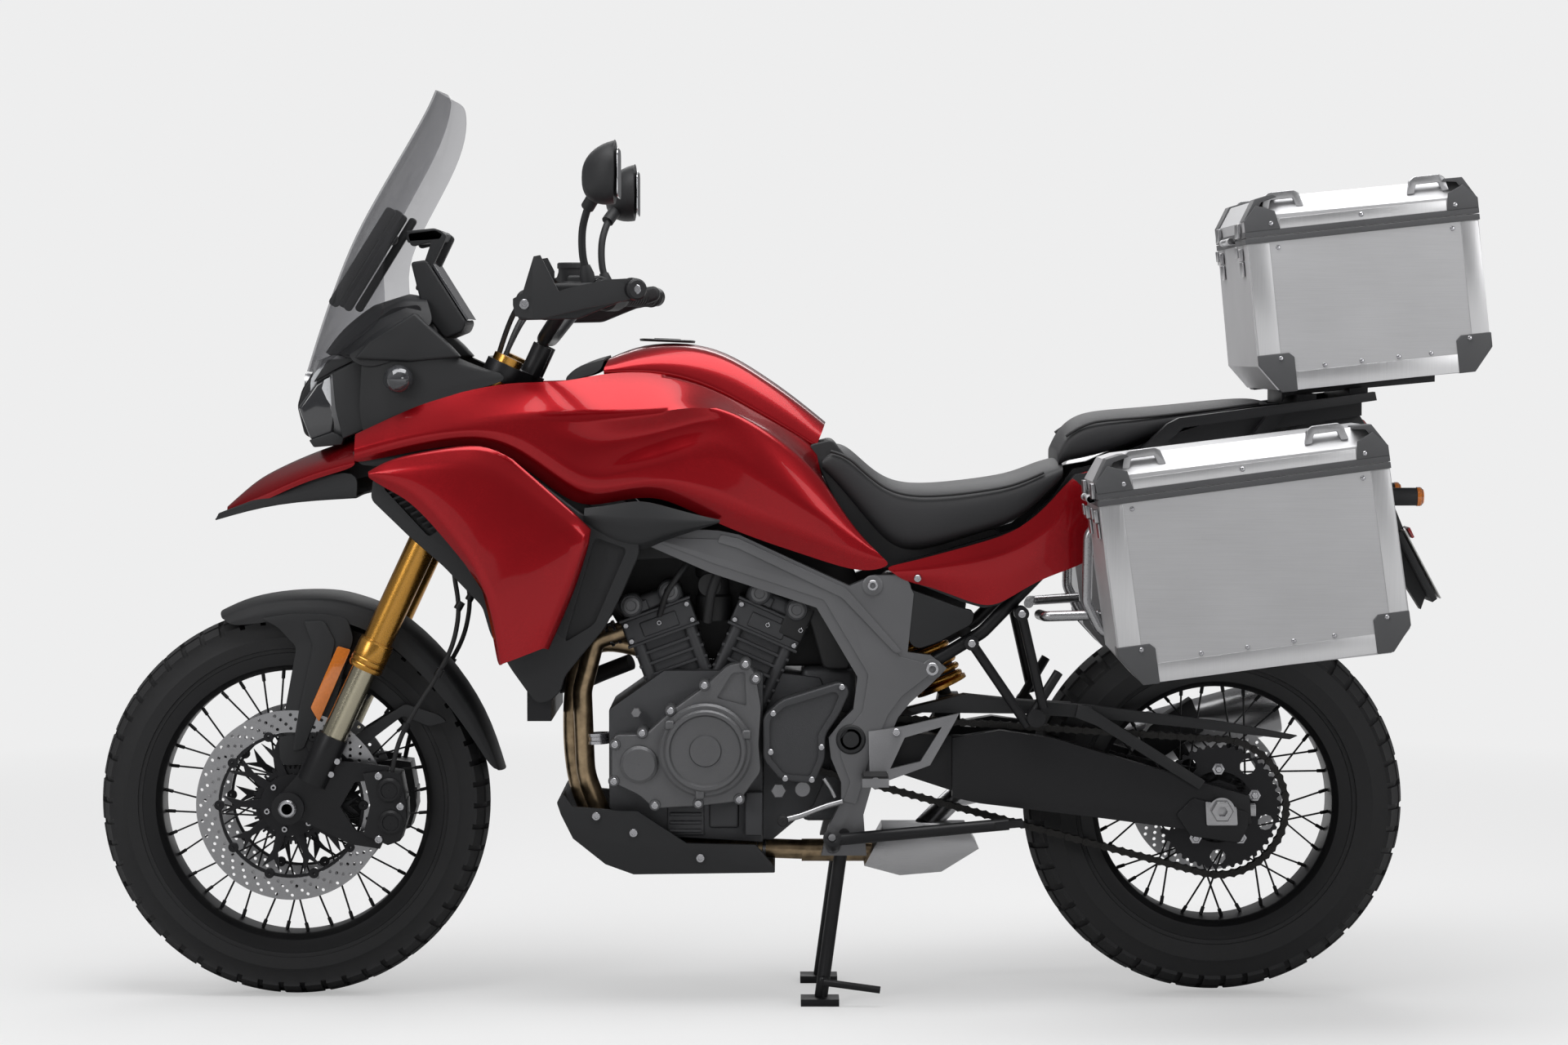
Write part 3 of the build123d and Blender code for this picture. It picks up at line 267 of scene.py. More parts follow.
def stock_finish(name, colour, roughness, metallic=0.0, grain=900.0, depth=0.15, drift=0.12, coat=0.0, brushed=None):
    """A finish whose colour drifts slightly, with a roughness that varies and a grain that the light catches."""
    material = bpy.data.materials.new(name)
    material.use_nodes = True
    tree = material.node_tree
    shader = tree.nodes["Principled BSDF"]
    place = added(tree, "TexCoord")
    turn = added(tree, "Mapping", Scale=brushed or (1.0, 1.0, 1.0))
    fine = added(tree, "TexNoise", Scale=grain, Detail=3.0)
    broad = added(tree, "TexNoise", Scale=7.0, Detail=5.0)
    shade = added(tree, "ValToRGB")
    shade.color_ramp.elements[0].position = 0.3
    shade.color_ramp.elements[1].position = 0.7
    shade.color_ramp.elements[0].color = (*[c * (1 - drift) for c in colour], 1.0)
    shade.color_ramp.elements[1].color = (*[min(1.0, c * (1 + drift)) for c in colour], 1.0)
    mixed = added(tree, "Math")
    mixed.operation = "MULTIPLY_ADD"
    mixed.inputs[1].default_value = 0.5
    rough = added(tree, "MapRange", From_Min=0.3, From_Max=0.7, To_Min=max(0.02, roughness - 0.05),
        To_Max=roughness + 0.06)
    bump = added(tree, "Bump", Strength=depth, Distance=0.0006)
    half = added(tree, "Math")
    half.operation = "MULTIPLY"
    half.inputs[1].default_value = 0.5
    link = tree.links.new
    link(place.outputs["Object"], turn.inputs["Vector"])
    link(turn.outputs["Vector"], fine.inputs["Vector"])
    link(place.outputs["Object"], broad.inputs["Vector"])
    link(fine.outputs["Fac"], half.inputs[0])
    link(broad.outputs["Fac"], mixed.inputs[0])
    link(half.outputs[0], mixed.inputs[2])
    link(mixed.outputs[0], shade.inputs[0])
    link(shade.outputs[0], shader.inputs["Base Color"])
    link(mixed.outputs[0], rough.inputs["Value"])
    link(rough.outputs["Result"], shader.inputs["Roughness"])
    link(fine.outputs["Fac"], bump.inputs["Height"])
    link(bump.outputs["Normal"], shader.inputs["Normal"])
    shader.inputs["Metallic"].default_value = metallic
    shader.inputs["Coat Weight"].default_value = coat
    shader.inputs["Coat Roughness"].default_value = 0.04
    return material


rubber = stock_finish("tyre_rubber", (0.014, 0.014, 0.015), 0.70, grain=700.0, depth=0.4, drift=0.25)
tyre = dual_sport_tyre("front_tyre_carcass", front_axle, 329.3, 110.0, 241.3, 54)
fitted(tyre, rubber, "front_wheel", "tyre_rubber", "front_tyre", smooth=28)
tyre = dual_sport_tyre("rear_tyre_carcass", rear_axle, 320.9, 150.0, 215.9, 50)
fitted(tyre, rubber, "rear_wheel", "tyre_rubber", "rear_tyre", smooth=28)


# ------------------------------------------------------------------ wheels
# Satin black alloy rims with a rolled lip, laced to turned hubs with crossed
# steel spokes; rim, hub and spokes are one piece, which turns with its tyre.
def joined(name, parts):
    """Makes one piece of several."""
    put_tools_down()
    for part in parts:
        part.select_set(True)
    bpy.context.view_layer.objects.active = parts[0]
    bpy.ops.object.join()
    parts[0].name = name
    return parts[0]


def laced_wheel(name, axle, bead, width, hub_half, flange, spoke_y, spokes):
    """Rim ring, hub and crossed spokes round an axle, with their measures in mm."""
    half = 0.38 * width
    lip = [(bead - 8, half + 2), (bead + 3, half + 4.6), (bead + 13, half + 5), (bead + 13, half + 2),
        (bead + 1, half), (bead - 5, half - 2), (bead - 13, half - 15)]
    bed = [(bead - 18, half - 16), (bead - 17, half - 9)]
    section = [*bed, *lip, *[(r, -y) for r, y in reversed(lip)], *[(r, -y) for r, y in reversed(bed)]]
    centre = (axle[0], 0, axle[1])
    rim = turned_piece(f"{name}_rim_ring", section, centre, steps=128)
    barrel = 0.62 * flange
    side = [(13, hub_half), (barrel, hub_half), (barrel, spoke_y + 6), (flange, spoke_y + 3.5),
        (flange, spoke_y - 3.5), (barrel, spoke_y - 7), (0.52 * flange, 0.3 * spoke_y)]
    hub = turned_piece(f"{name}_hub", [*side, *[(r, -y) for r, y in reversed(side)]], centre, steps=48)
    parts = [rim, hub]
    for face_side in (-1, 1):
        for n in range(spokes):
            at_rim = 2 * math.pi * (n + 0.25 * face_side) / spokes
            at_hub = at_rim + (0.9 if n % 2 else -0.9)
            hub_r, rim_r = (flange - 5) * mm, (bead - 17) * mm
            start = Vector((axle[0] + hub_r * math.cos(at_hub), face_side * spoke_y * mm,
                axle[1] + hub_r * math.sin(at_hub)))
            end = Vector((axle[0] + rim_r * math.cos(at_rim), face_side * 10 * mm, axle[1] + rim_r * math.sin(at_rim)))
            run = (end - start).length / mm
            spoke = [(0.2, 0), (1.7, 0.5), (1.7, run - 16), (3.2, run - 15), (3.2, run - 2), (0.2, run)]
            parts.append(turned_piece("spoke", spoke, start, aim=end - start, steps=6))
    return joined(f"{name}_wheel_laced", parts)


rim_black = stock_finish("rim_black", (0.013, 0.013, 0.014), 0.36, metallic=0.4, grain=500.0, depth=0.1)
wheel = laced_wheel("front", front_axle, 241.3, 110.0, 62.0, 44.0, 30.0, 18)
fitted(wheel, rim_black, "front_wheel", "rim_black", "front_rim")
wheel = laced_wheel("rear", rear_axle, 215.9, 150.0, 82.0, 62.0, 40.0, 18)
fitted(wheel, rim_black, "rear_wheel", "rim_black", "rear_rim")


# ------------------------------------------------------------------ brake discs
# Ground steel rings, drilled in sloping rows and floating on bobbins, on a black
# carrier bolted to the hub; the front ones carry the toothed ring of the sensor.
def flat_ring(name, centre, outer, inner, y, thick, steps=96):
    """A flat ring that lies across Y, with its measures in mm."""
    section = [(inner, -thick / 2), (outer, -thick / 2), (outer, thick / 2), (inner, thick / 2)]
    return turned_piece(name, section, (centre[0], y * mm, centre[1]), steps=steps)


def cut_away(piece, cutter):
    """Takes the cutter's space out of a piece, and puts the cutter away."""
    hold(piece)
    hollow = piece.modifiers.new("cut", "BOOLEAN")
    hollow.operation, hollow.solver, hollow.object = "DIFFERENCE", "EXACT", cutter
    bpy.ops.object.modifier_apply(modifier=hollow.name)
    bpy.data.objects.remove(cutter)
    return piece


def drilled(piece, places, radius, y):
    """Cuts round holes through a plate that lies across Y."""
    cutters = []
    for x, z in places:
        put_tools_down()
        bpy.ops.mesh.primitive_cylinder_add(vertices=10, radius=radius * mm, depth=0.03, location=(x, y * mm, z),
            rotation=(math.pi / 2, 0, 0))
        cutters.append(bpy.context.object)
    cut_away(piece, joined("drill", cutters))


def on_circle(axle, radius, turn):
    """The point at a radius in mm and a turn in parts of a whole round an axle."""
    return (axle[0] + radius * mm * math.cos(2 * math.pi * turn), axle[1] + radius * mm * math.sin(2 * math.pi * turn))


def brake_disc(name, axle, y, outer, inner, rows, row_radii):
    """One ground ring with its holes, already in place."""
    ring = flat_ring(name, axle, outer, inner, y, 4.6, steps=120)
    holes = [on_circle(axle, radius, (n + 0.34 * k) / rows) for n in range(rows) for k, radius in enumerate(row_radii)]
    drilled(ring, holes, 2.9, y)
    return ring


def bobbin(axle, radius, turn, y):
    """One of the rivets on which a ring floats."""
    x, z = on_circle(axle, radius, turn)
    return turned_piece("bobbin", [(2.5, -4.2), (7.5, -4.2), (8.5, -3.4), (8.5, 3.4), (7.5, 4.2), (2.5, 4.2)],
        (x, y * mm, z), steps=18)


disc_steel = stock_finish("disc_steel", (0.40, 0.40, 0.41), 0.33, metallic=1.0, grain=420.0, depth=0.1)
carrier_black = stock_finish("carrier_black", (0.016, 0.016, 0.018), 0.4, metallic=0.5, grain=700.0)
bolt_steel = stock_finish("bolt_steel", (0.50, 0.50, 0.52), 0.25, metallic=1.0, grain=400.0, depth=0.1)


def eased(piece, width, angle, segments=3):
    """Rounds over the edges that are sharper than an angle, by a width in mm."""
    ease = piece.modifiers.new("eased", "BEVEL")
    ease.width, ease.segments = width * mm, segments
    ease.limit_method, ease.angle_limit = "ANGLE", math.radians(angle)
    bpy.ops.object.modifier_apply(modifier=ease.name)
    return piece


def moulding(name, outline, near, far, rounding=0.0, edge=0.0, corners=3):
    """A plate with a side outline of (x, z) in mm, from y = -near to y = -far, its corners and edges eased."""
    put_tools_down()
    bpy.ops.mesh.primitive_circle_add(vertices=len(outline), fill_type="NGON")
    piece = bpy.context.object
    piece.name = name
    for corner, (x, z) in zip(piece.data.vertices, outline):
        corner.co = (x * mm, -near * mm, z * mm)
    open_mesh()
    if rounding:
        bpy.ops.mesh.bevel(offset=rounding * mm, segments=corners, affect="VERTICES", clamp_overlap=True)
        bpy.ops.mesh.select_all(action="SELECT")
    bpy.ops.mesh.extrude_region_move(TRANSFORM_OT_translate={"value": (0, (near - far) * mm, 0)})
    bpy.ops.mesh.select_all(action="SELECT")
    bpy.ops.mesh.normals_make_consistent(inside=False)
    close_mesh()
    return eased(piece, edge, angle=38) if edge else piece


for side, label in ((-1, "left"), (1, "right")):
    y = side * 74.0
    ring = brake_disc(f"front_disc_ring_{label}", front_axle, y, 160.0, 123.0, 36, (129.5, 137, 145, 152.5))
    fitted(ring, disc_steel, "front_wheel", "disc_steel", *(("front_discs",) if side < 0 else ()))
    carrier = [flat_ring("carrier_hub", front_axle, 52, 14, y, 5),
        flat_ring("carrier_band", front_axle, 122.4, 117.5, y, 4)]
    for n in range(10):
        turn = n / 10
        hub_from, hub_to = on_circle(front_axle, 49, turn - 0.035), on_circle(front_axle, 49, turn + 0.02)
        rim_from, rim_to = on_circle(front_axle, 116, turn + 0.022), on_circle(front_axle, 116, turn - 0.022)
        fork_in = on_circle(front_axle, 84, turn + 0.006)
        outline = [(x / mm, z / mm) for x, z in (hub_from, hub_to, fork_in, rim_from, on_circle(front_axle, 96, turn),
            rim_to, on_circle(front_axle, 82, turn - 0.014))]
        carrier.append(moulding("carrier_arm", outline, -y - 2.2, -y + 2.2, edge=0.8))
        carrier.append(bobbin(front_axle, 121, turn, y))
    teeth = [(x / mm, z / mm)
        for k in range(96) for x, z in [on_circle(front_axle, 67 if k % 2 else 61, (k + e) / 96) for e in (0.1, 0.9)]]
    sensor_ring = moulding("sensor_ring", teeth, -y + side * 6 - 1.2, -y + side * 6 + 1.2)
    drilled(sensor_ring, [front_axle], 54, y)
    carrier.append(sensor_ring)
    fitted(joined(f"front_disc_carrier_{label}", carrier), carrier_black, "front_wheel", "black_steel")
    bolts = []
    for n in range(6):
        x, z = on_circle(front_axle, 42, n / 6 + 0.04)
        bolts.append(turned_piece("disc_bolt", [(2.2, 0), (5, 0), (5.4, 1), (5.4, 3.4), (4.6, 4.4), (2.4, 4.4),
            (2.2, 2)], (x, (y + side * 2.5) * mm, z), aim=(0, side, 0), steps=14))
    fitted(joined(f"front_disc_bolts_{label}", bolts), bolt_steel, "front_wheel", "bright_steel")

ring = brake_disc("rear_disc_ring", rear_axle, 94.0, 132.0, 96.0, 32, (102.5, 110, 118, 125))
fitted(ring, disc_steel, "rear_wheel", "disc_steel", "rear_disc")
carrier = [flat_ring("rear_carrier_hub", rear_axle, 56, 14, 92, 10)]
for n in range(6):
    spots = [on_circle(rear_axle, r, n / 6 + t) for r, t in ((52, -0.03), (52, 0.03), (97, 0.02), (97, -0.02))]
    carrier.append(moulding("rear_carrier_arm", [(x / mm, z / mm) for x, z in spots], -96, -91.5, edge=0.8))
    carrier.append(bobbin(rear_axle, 97, n / 6, 94))
fitted(joined("rear_disc_carrier", carrier), carrier_black, "rear_wheel", "black_steel")


# ------------------------------------------------------------------ sprocket and chain
# A black steel sprocket with 45 teeth and five cut-outs, and a riveted roller
# chain, one link modelled and laid round the loop at the chain's own pitch.
chain_y, pitch, front_teeth, rear_teeth = -0.096, 15.875 * mm, 17, 45
front_sprocket = (0.020, 0.446)
pitch_radius = {end: pitch / mm / (2 * math.sin(math.pi / teeth))
    for end, teeth in (("front", front_teeth), ("rear", rear_teeth))}
tooth_tip = pitch_radius["rear"] - 9.2
outline = []
for n in range(rear_teeth):
    for radius, share in ((tooth_tip - 5.0, 0.12), (tooth_tip, 0.36), (tooth_tip, 0.64), (tooth_tip - 5.0, 0.88)):
        x, z = on_circle(rear_axle, radius, (n + share) / rear_teeth)
        outline.append((x / mm, z / mm))
sprocket = moulding("sprocket_plate", outline, 93.0, 99.0)
drilled(sprocket, [on_circle(rear_axle, 84, (n + 0.5) / 5 + 0.05) for n in range(5)], 13.5, -96.0)
drilled(sprocket, [rear_axle], 46, -96.0)
spider = [sprocket, flat_ring("sprocket_boss", rear_axle, 60, 14, -90.0, 18),
    flat_ring("sprocket_seat", rear_axle, 40, 14, -98.0, 10)]
fitted(joined("sprocket_set", spider), carrier_black, "rear_wheel", "black_steel", "rear_sprocket")
bolts = []
for n in range(5):
    x, z = on_circle(rear_axle, 64, n / 5 + 0.05)
    bolts.append(turned_piece("sprocket_bolt", [(0.5, 0), (10, 0), (10.4, 1.6), (6.4, 2), (6.4, 8.5), (5, 9.6),
        (0.5, 9.6)], (x, -0.099, z), aim=(0, -1, 0), steps=6))
fitted(joined("sprocket_bolts", bolts), bolt_steel, "rear_wheel", "bright_steel")

lean = Vector((rear_axle[0] - front_sprocket[0], rear_axle[1] - front_sprocket[1]))
span, slope = lean.length, math.atan2(lean.y, lean.x)
radii = {end: radius * mm for end, radius in pitch_radius.items()}
tilt = math.asin((radii["rear"] - radii["front"]) / span)
run = span * math.cos(tilt)
arcs = {"front": radii["front"] * (math.pi - 2 * tilt), "rear": radii["rear"] * (math.pi + 2 * tilt)}
loop = 2 * run + arcs["front"] + arcs["rear"]


def along_chain(distance):
    """The chain's middle line: along the top, round the sprocket, back below, and round the gearbox end."""
    distance %= loop
    top, bottom = slope + math.pi / 2 + tilt, slope - math.pi / 2 - tilt
    if distance < run:
        start = Vector(front_sprocket) + radii["front"] * Vector((math.cos(top), math.sin(top)))
        return start + distance * Vector((math.sin(top), -math.cos(top))), top - math.pi / 2
    distance -= run
    if distance < arcs["rear"]:
        turn = top - distance / radii["rear"]
        return Vector(rear_axle) + radii["rear"] * Vector((math.cos(turn), math.sin(turn))), turn - math.pi / 2
    distance -= arcs["rear"]
    if distance < run:
        start = Vector(rear_axle) + radii["rear"] * Vector((math.cos(bottom), math.sin(bottom)))
        return start + distance * Vector((math.sin(bottom), -math.cos(bottom))), bottom - math.pi / 2
    distance -= run
    turn = bottom - distance / radii["front"]
    return Vector(front_sprocket) + radii["front"] * Vector((math.cos(turn), math.sin(turn))), turn - math.pi / 2


def chain_link(name, across):
    """Two waisted side plates on their rollers, lying along X at the origin."""
    half, waist, end = pitch / mm / 2, 4.4, 6.6
    outline = [(-half - 5.4, 3.4), (-half, end), (-2, waist), (2, waist), (half, end), (half + 5.4, 3.4),
        (half + 5.4, -3.4), (half, -end), (2, -waist), (-2, -waist), (-half, -end), (-half - 5.4, -3.4)]
    plates = [moulding("plate", outline, across, across + 1.8), moulding("plate", outline, -across - 1.8, -across)]
    pin = [(0.3, -across - 2.6), (2.6, -across - 2.4), (2.6, across + 2.4), (0.3, across + 2.6)]
    roller = [(2.6, -4.6), (5.0, -4.6), (5.0, 4.6), (2.6, 4.6)]
    for x in (-half, half):
        plates.append(turned_piece("pin", pin, (x * mm, 0, 0), aim=(0, -1, 0), steps=8))
    plates.append(turned_piece("roller", roller, (half * mm, 0, 0), aim=(0, -1, 0), steps=10))
    return joined(name, plates)


def copied(piece, move):
    """A copy with a mesh of its own, moved by a matrix."""
    twin = piece.copy()
    twin.data = piece.data.copy()
    twin.data.transform(move)
    bpy.context.collection.objects.link(twin)
    return twin


masters = [chain_link("inner_link", 4.9), chain_link("outer_link", 7.2)]
links = 2 * round(loop / pitch / 2)
laid = []
for n in range(links):
    (x, z), heading = along_chain(n * loop / links)
    turn = Matrix.Rotation(-heading, 4, "Y")
    laid.append(copied(masters[n % 2], Matrix.Translation((x, chain_y, z)) @ turn))
for master in masters:
    bpy.data.objects.remove(master)
chain_black = stock_finish("chain_steel", (0.030, 0.029, 0.028), 0.38, metallic=0.8, grain=900.0, drift=0.4)
fitted(joined("roller_chain", laid), chain_black, "frame", "chain_steel", "chain")


# ------------------------------------------------------------------ engine
# A liquid-cooled vee twin in cast aluminium, painted dark grey, its side covers
# a shade lighter; the castings have soft edges and are closed by socket screws.
def softened(node, width, material, body, slot, angle=34, segments=2):
    """Puts a node's own form in its place with the sharp edges rounded over, as castings and mouldings have them."""
    form = nodes[node].data.copy()
    form.transform(nodes[node].matrix_world)
    piece = bpy.data.objects.new(f"{node}_form", form)
    bpy.context.collection.objects.link(piece)
    hold(piece)
    bpy.ops.mesh.customdata_custom_splitnormals_clear()
    open_mesh()
    bpy.ops.mesh.remove_doubles(threshold=weld)
    bpy.ops.mesh.dissolve_limited(angle_limit=math.radians(0.6))
    close_mesh()
    return fitted(eased(piece, width, angle, segments), material, body, slot, node)


def socket_screw(x, y, z, out, radius=6.0):
    """A socket-head screw on a face that looks along Y."""
    head = [(0.3, 0), (radius, 0), (radius, 4.2), (radius - 0.8, 5.0), (0.55 * radius, 5.0), (0.5 * radius, 2.2),
        (0.3, 2.2)]
    return turned_piece("screw", head, (x * mm, y * mm, z * mm), aim=(0, out, 0), steps=14)


def hose(name, points, radius, sides=6):
    """A round hose or cable through its points, in mm."""
    if len(points) < 5:
        halfway = [tuple((Vector(a) + Vector(b)) / 2) for a, b in zip(points, points[1:])]
        points = [place for pair in zip(points, halfway) for place in pair] + [points[-1]]
    put_tools_down()
    bpy.ops.curve.primitive_nurbs_path_add()
    line = bpy.context.object
    line.name = name
    path = line.data.splines[0]
    path.points.add(max(0, len(points) - len(path.points)))
    for spot, place in zip(path.points, points):
        spot.co = (*(value * mm for value in place), 1.0)
    path.order_u = 3
    path.use_endpoint_u = True
    path.resolution_u = 6
    line.data.bevel_depth = radius * mm
    line.data.bevel_resolution = sides
    line.data.use_fill_caps = True
    bpy.ops.object.convert(target="MESH")
    return bpy.context.object


engine_grey = stock_finish("engine_paint", (0.070, 0.071, 0.075), 0.46, metallic=0.5, grain=900.0, depth=0.5)
cover_grey = stock_finish("cover_paint", (0.155, 0.156, 0.161), 0.42, metallic=0.6, grain=900.0, depth=0.35)
hose_rubber = stock_finish("hose_rubber", (0.017, 0.017, 0.018), 0.6, grain=900.0, depth=0.3)
softened("crankcase", 3.0, engine_grey, "frame", "engine_casting")


def block(centre, size, lean=0.0, edge=1.5):
    """A cast block: its centre and size in mm, leaning back by an angle, with eased edges."""
    put_tools_down()
    bpy.ops.mesh.primitive_cube_add(size=1.0, location=[c * mm for c in centre], rotation=(0, math.radians(lean), 0))
    piece = bpy.context.object
    piece.scale = [s * mm for s in size]
    bpy.ops.object.transform_apply(location=True, rotation=True, scale=True)
    return eased(piece, edge, angle=30)


# each cylinder's lean in degrees and its foot along the crankcase's top
cylinder_places, crankcase_top = ((-20.0, -160.0), (24.0, -85.0)), 505


def cylinder_directions(lean, foot):
    """Up along a cylinder, and what gives a place from the mm along, out and up in its own directions."""
    up = Vector((math.sin(math.radians(lean)), 0, math.cos(math.radians(lean))))
    across = Vector((up.z, 0, -up.x))

    def inside(along, out, height):
        spot = Vector((foot, 0, crankcase_top)) + across * along + up * height
        return (spot.x, out, spot.z)
    return tuple(up), inside


# each cylinder: ribbed barrel between four stud columns, head, low cam cover with
# the camshafts' round housings
barrels = []
for lean, foot in cylinder_places:
    up, inside = cylinder_directions(lean, foot)
    fins = [(25 + 19 * n, (114, 186, 6), 1.5) for n in range(5)]
    for height, size, edge in ((60, (98, 168, 120), 2.0), *fins, (120, (126, 200, 5), 1.0),
            (142, (122, 196, 44), 4.0), (165, (126, 202, 5), 1.5), (180, (108, 192, 30), 8.0)):
        barrels.append(block(inside(0, 0, height), size, lean, edge))
    for along in (-45, 45):
        for out in (-84, 84):
            column = [(0.3, 0), (11, 0), (11, 120), (0.3, 120)]
            barrels.append(turned_piece("stud_column", column, [v * mm for v in inside(along, out, 0)], aim=up,
                steps=20))
    for out in (-97, 97):
        barrels.append(block(inside(0, out, 140), (64, 8, 26), lean, 3.0))
        barrels.append(block(inside(-22, out, 178), (30, 9, 18), lean, 3.0))
    for along in (-34, 34):
        housing = [(0.5, -104), (17, -104), (20, -101), (20, 101), (17, 104), (0.5, 104)]
        barrels.append(turned_piece("cam_housing", housing, [v * mm for v in inside(along, 0, 185)], steps=32))
fitted(joined("cylinder_castings", barrels), engine_grey, "frame", "engine_casting", "cylinders")

# left: the alternator's case with its screw bosses, recess and lobe, its round
# cover with a ridge ring, and the sprocket cover with a sunk face; right: the clutch's
case_face = 163.0
boss_places = [(-280, 441), (-235, 460), (-188, 497), (-132, 539), (-64, 574), (-47, 550), (-74, 350), (-142, 343),
    (-214, 340), (-282, 380)]
left_case = moulding("left_case", [(-286, 441), (-281, 457), (-230, 457), (-189, 495), (-132, 537), (-94, 572),
    (-61, 578), (-46, 555), (-38, 503), (-42, 440), (-38, 395), (-74, 346), (-142, 338), (-216, 334), (-240, 356),
    (-286, 378)], 118.0, case_face, rounding=7.0, edge=3.0)
cut_away(left_case, moulding("recess", [(-86, 560), (-64, 562), (-62, 505), (-112, 518)], case_face - 7,
    case_face + 5, rounding=4.0))
covers = [left_case]
for x, z in boss_places:
    boss = [(0.3, 0), (9.5, 0), (9.5, 46), (8.5, 48), (0.3, 48)]
    covers.append(turned_piece("boss", boss, (x * mm, -0.118, z * mm), aim=(0, -1, 0), steps=24))
lobe = [(0.5, 0), (32, 0), (31, 6), (26, 10), (0.5, 11)]
covers.append(turned_piece("lobe", lobe, (-0.240, -case_face * mm, 0.408), aim=(0, -1, 0), steps=40))
round_cover = [(0.5, 0), (78, 0), (78, 12), (74, 16), (69, 16), (68, 18), (68, 22), (65, 25), (60, 25), (57, 20),
    (27, 20), (25, 24), (0.5, 24)]
covers.append(turned_piece("round_cover", round_cover, (-0.130, -case_face * mm, 0.432), aim=(0, -1, 0), steps=96))
for turn in (0.06, 0.40, 0.73):
    angle = math.tau * turn
    rib = block((-130 + 73 * math.cos(angle), -(case_face + 16), 432 + 73 * math.sin(angle)), (16, 14, 16), 0, 4.0)
    covers.append(rib)
sprocket_cover = moulding("sprocket_cover", [(-35, 415), (-35, 487), (-5, 514), (95, 545), (110, 530), (92, 490),
    (68, 455), (68, 415), (50, 375), (-5, 380)], 110.0, 160.0, rounding=9.0, edge=4.0)
cut_away(sprocket_cover, moulding("sunk_face", [(-24, 420), (-24, 481), (0, 503), (84, 529), (92, 522), (80, 494),
    (57, 458), (57, 418), (43, 387), (0, 391)], 154.0, 170.0, rounding=8.0))
fitted(sprocket_cover, engine_grey, "frame", "cover_casting")
covers.append(moulding("right_case", [(-283, 443), (-290, 385), (-240, 352), (-150, 336), (-30, 345), (20, 400),
    (10, 480), (-70, 545), (-190, 520)], -case_face, -118.0, rounding=10.0, edge=3.0))
clutch_cover = [(0.5, 0), (86, 0), (86, 9), (82, 13), (77, 13), (76, 19), (72, 24), (58, 24), (55, 20), (0.5, 20)]
covers.append(turned_piece("clutch_cover", clutch_cover, (-0.095, case_face * mm, 0.430), aim=(0, 1, 0), steps=96))
fitted(joined("engine_side_covers", covers), cover_grey, "frame", "cover_casting", "engine_covers", smooth=30)

# low on the left: a ribbed pocket and two blocks, and a block behind the crankcase;
# above and behind the cylinders: air box, throttle bodies and coil in dark plastic
ribs = [((-164, -123, 292 + 14 * n), (54, 6, 6), 2.0) for n in range(4)]
lower = [block(centre, size, 0, edge) for centre, size, edge in (((-164, -117, 314), (62, 10, 60), 3.0), *ribs,
    ((-50, -128, 322), (30, 24, 74), 4.0), ((-100, -116, 322), (50, 14, 52), 5.0),
    ((75, 0, 432), (92, 150, 260), 12.0))]
fitted(joined("sump_details", lower), engine_grey, "frame", "engine_casting")
intake = [moulding("air_box", [(-300, 768), (-288, 815), (-215, 800), (-100, 772), (60, 718), (104, 640), (112, 560),
    (66, 560), (44, 640), (-10, 700), (-110, 728), (-180, 745), (-280, 742)], -98, 98, rounding=10.0, edge=5.0)]
for out in (-48, 48):
    throttle = [(0.5, 0), (30, 0), (30, 40), (26, 44), (26, 70), (31, 74), (31, 110), (0.5, 110)]
    intake.append(turned_piece("throttle_body", throttle, (-0.118, out * mm, 0.640), aim=(0, 0, 1), steps=32))
intake.append(turned_piece("coil", [(0.5, -30), (19, -30), (19, 30), (0.5, 30)], (-0.124, -0.080, 0.702), steps=28))
intake.append(block((20, -92, 640), (44, 20, 60), 24, 5.0))
intake.append(moulding("inner_tray", [(-335, 812), (-322, 700), (-262, 600), (-60, 560), (118, 560), (150, 640),
    (112, 740), (10, 792), (-160, 812)], -30, 30, rounding=12.0, edge=4.0))
fitted(joined("intake", intake), hose_rubber, "frame", "black_plastic", smooth=40)

screws = [socket_screw(x, -(case_face + 3), z, -1) for x, z in boss_places]
for x, z in ((-22, 428), (-18, 492), (96, 536), (62, 436), (2, 384), (46, 382)):
    screws.append(socket_screw(x, -160, z, -1, radius=5.0))
for turn in range(8):
    angle = math.tau * (turn + 0.5) / 8
    screws.append(socket_screw(-95 + 81 * math.cos(angle), case_face + 12, 430 + 81 * math.sin(angle), 1, radius=4.0))
for x, z in ((-270, 440), (-276, 390), (-236, 364), (-150, 348), (-40, 356), (8, 402), (0, 474), (-72, 534),
        (-180, 512)):
    screws.append(socket_screw(x, case_face, z, 1))
fitted(joined("engine_screws", screws), bolt_steel, "frame", "bright_steel")

light_casting = stock_finish("light_casting", (0.30, 0.30, 0.31), 0.42, metallic=0.8, grain=900.0, depth=0.3)
caps = []
for x, z, radius, y in ((-9, 361, 13.0, -132), (-246, 491, 9.0, -132)):
    hexagon = [(0.3, 0), (radius, 0), (radius, 7), (radius - 1.5, 8.5), (0.3, 8.5)]
    caps.append(turned_piece("cap", hexagon, (x * mm, y * mm, z * mm), aim=(0, -1, 0), steps=6))
ridges = [(0.5, 0), (12, 0), (13, 1), (13, 5), (12, 6), (0.5, 6)]
caps.append(turned_piece("filler", ridges, (0.031, -0.128, 0.363), aim=(0, -1, 0), steps=24))
fitted(joined("engine_caps", caps), light_casting, "frame", "engine_casting")

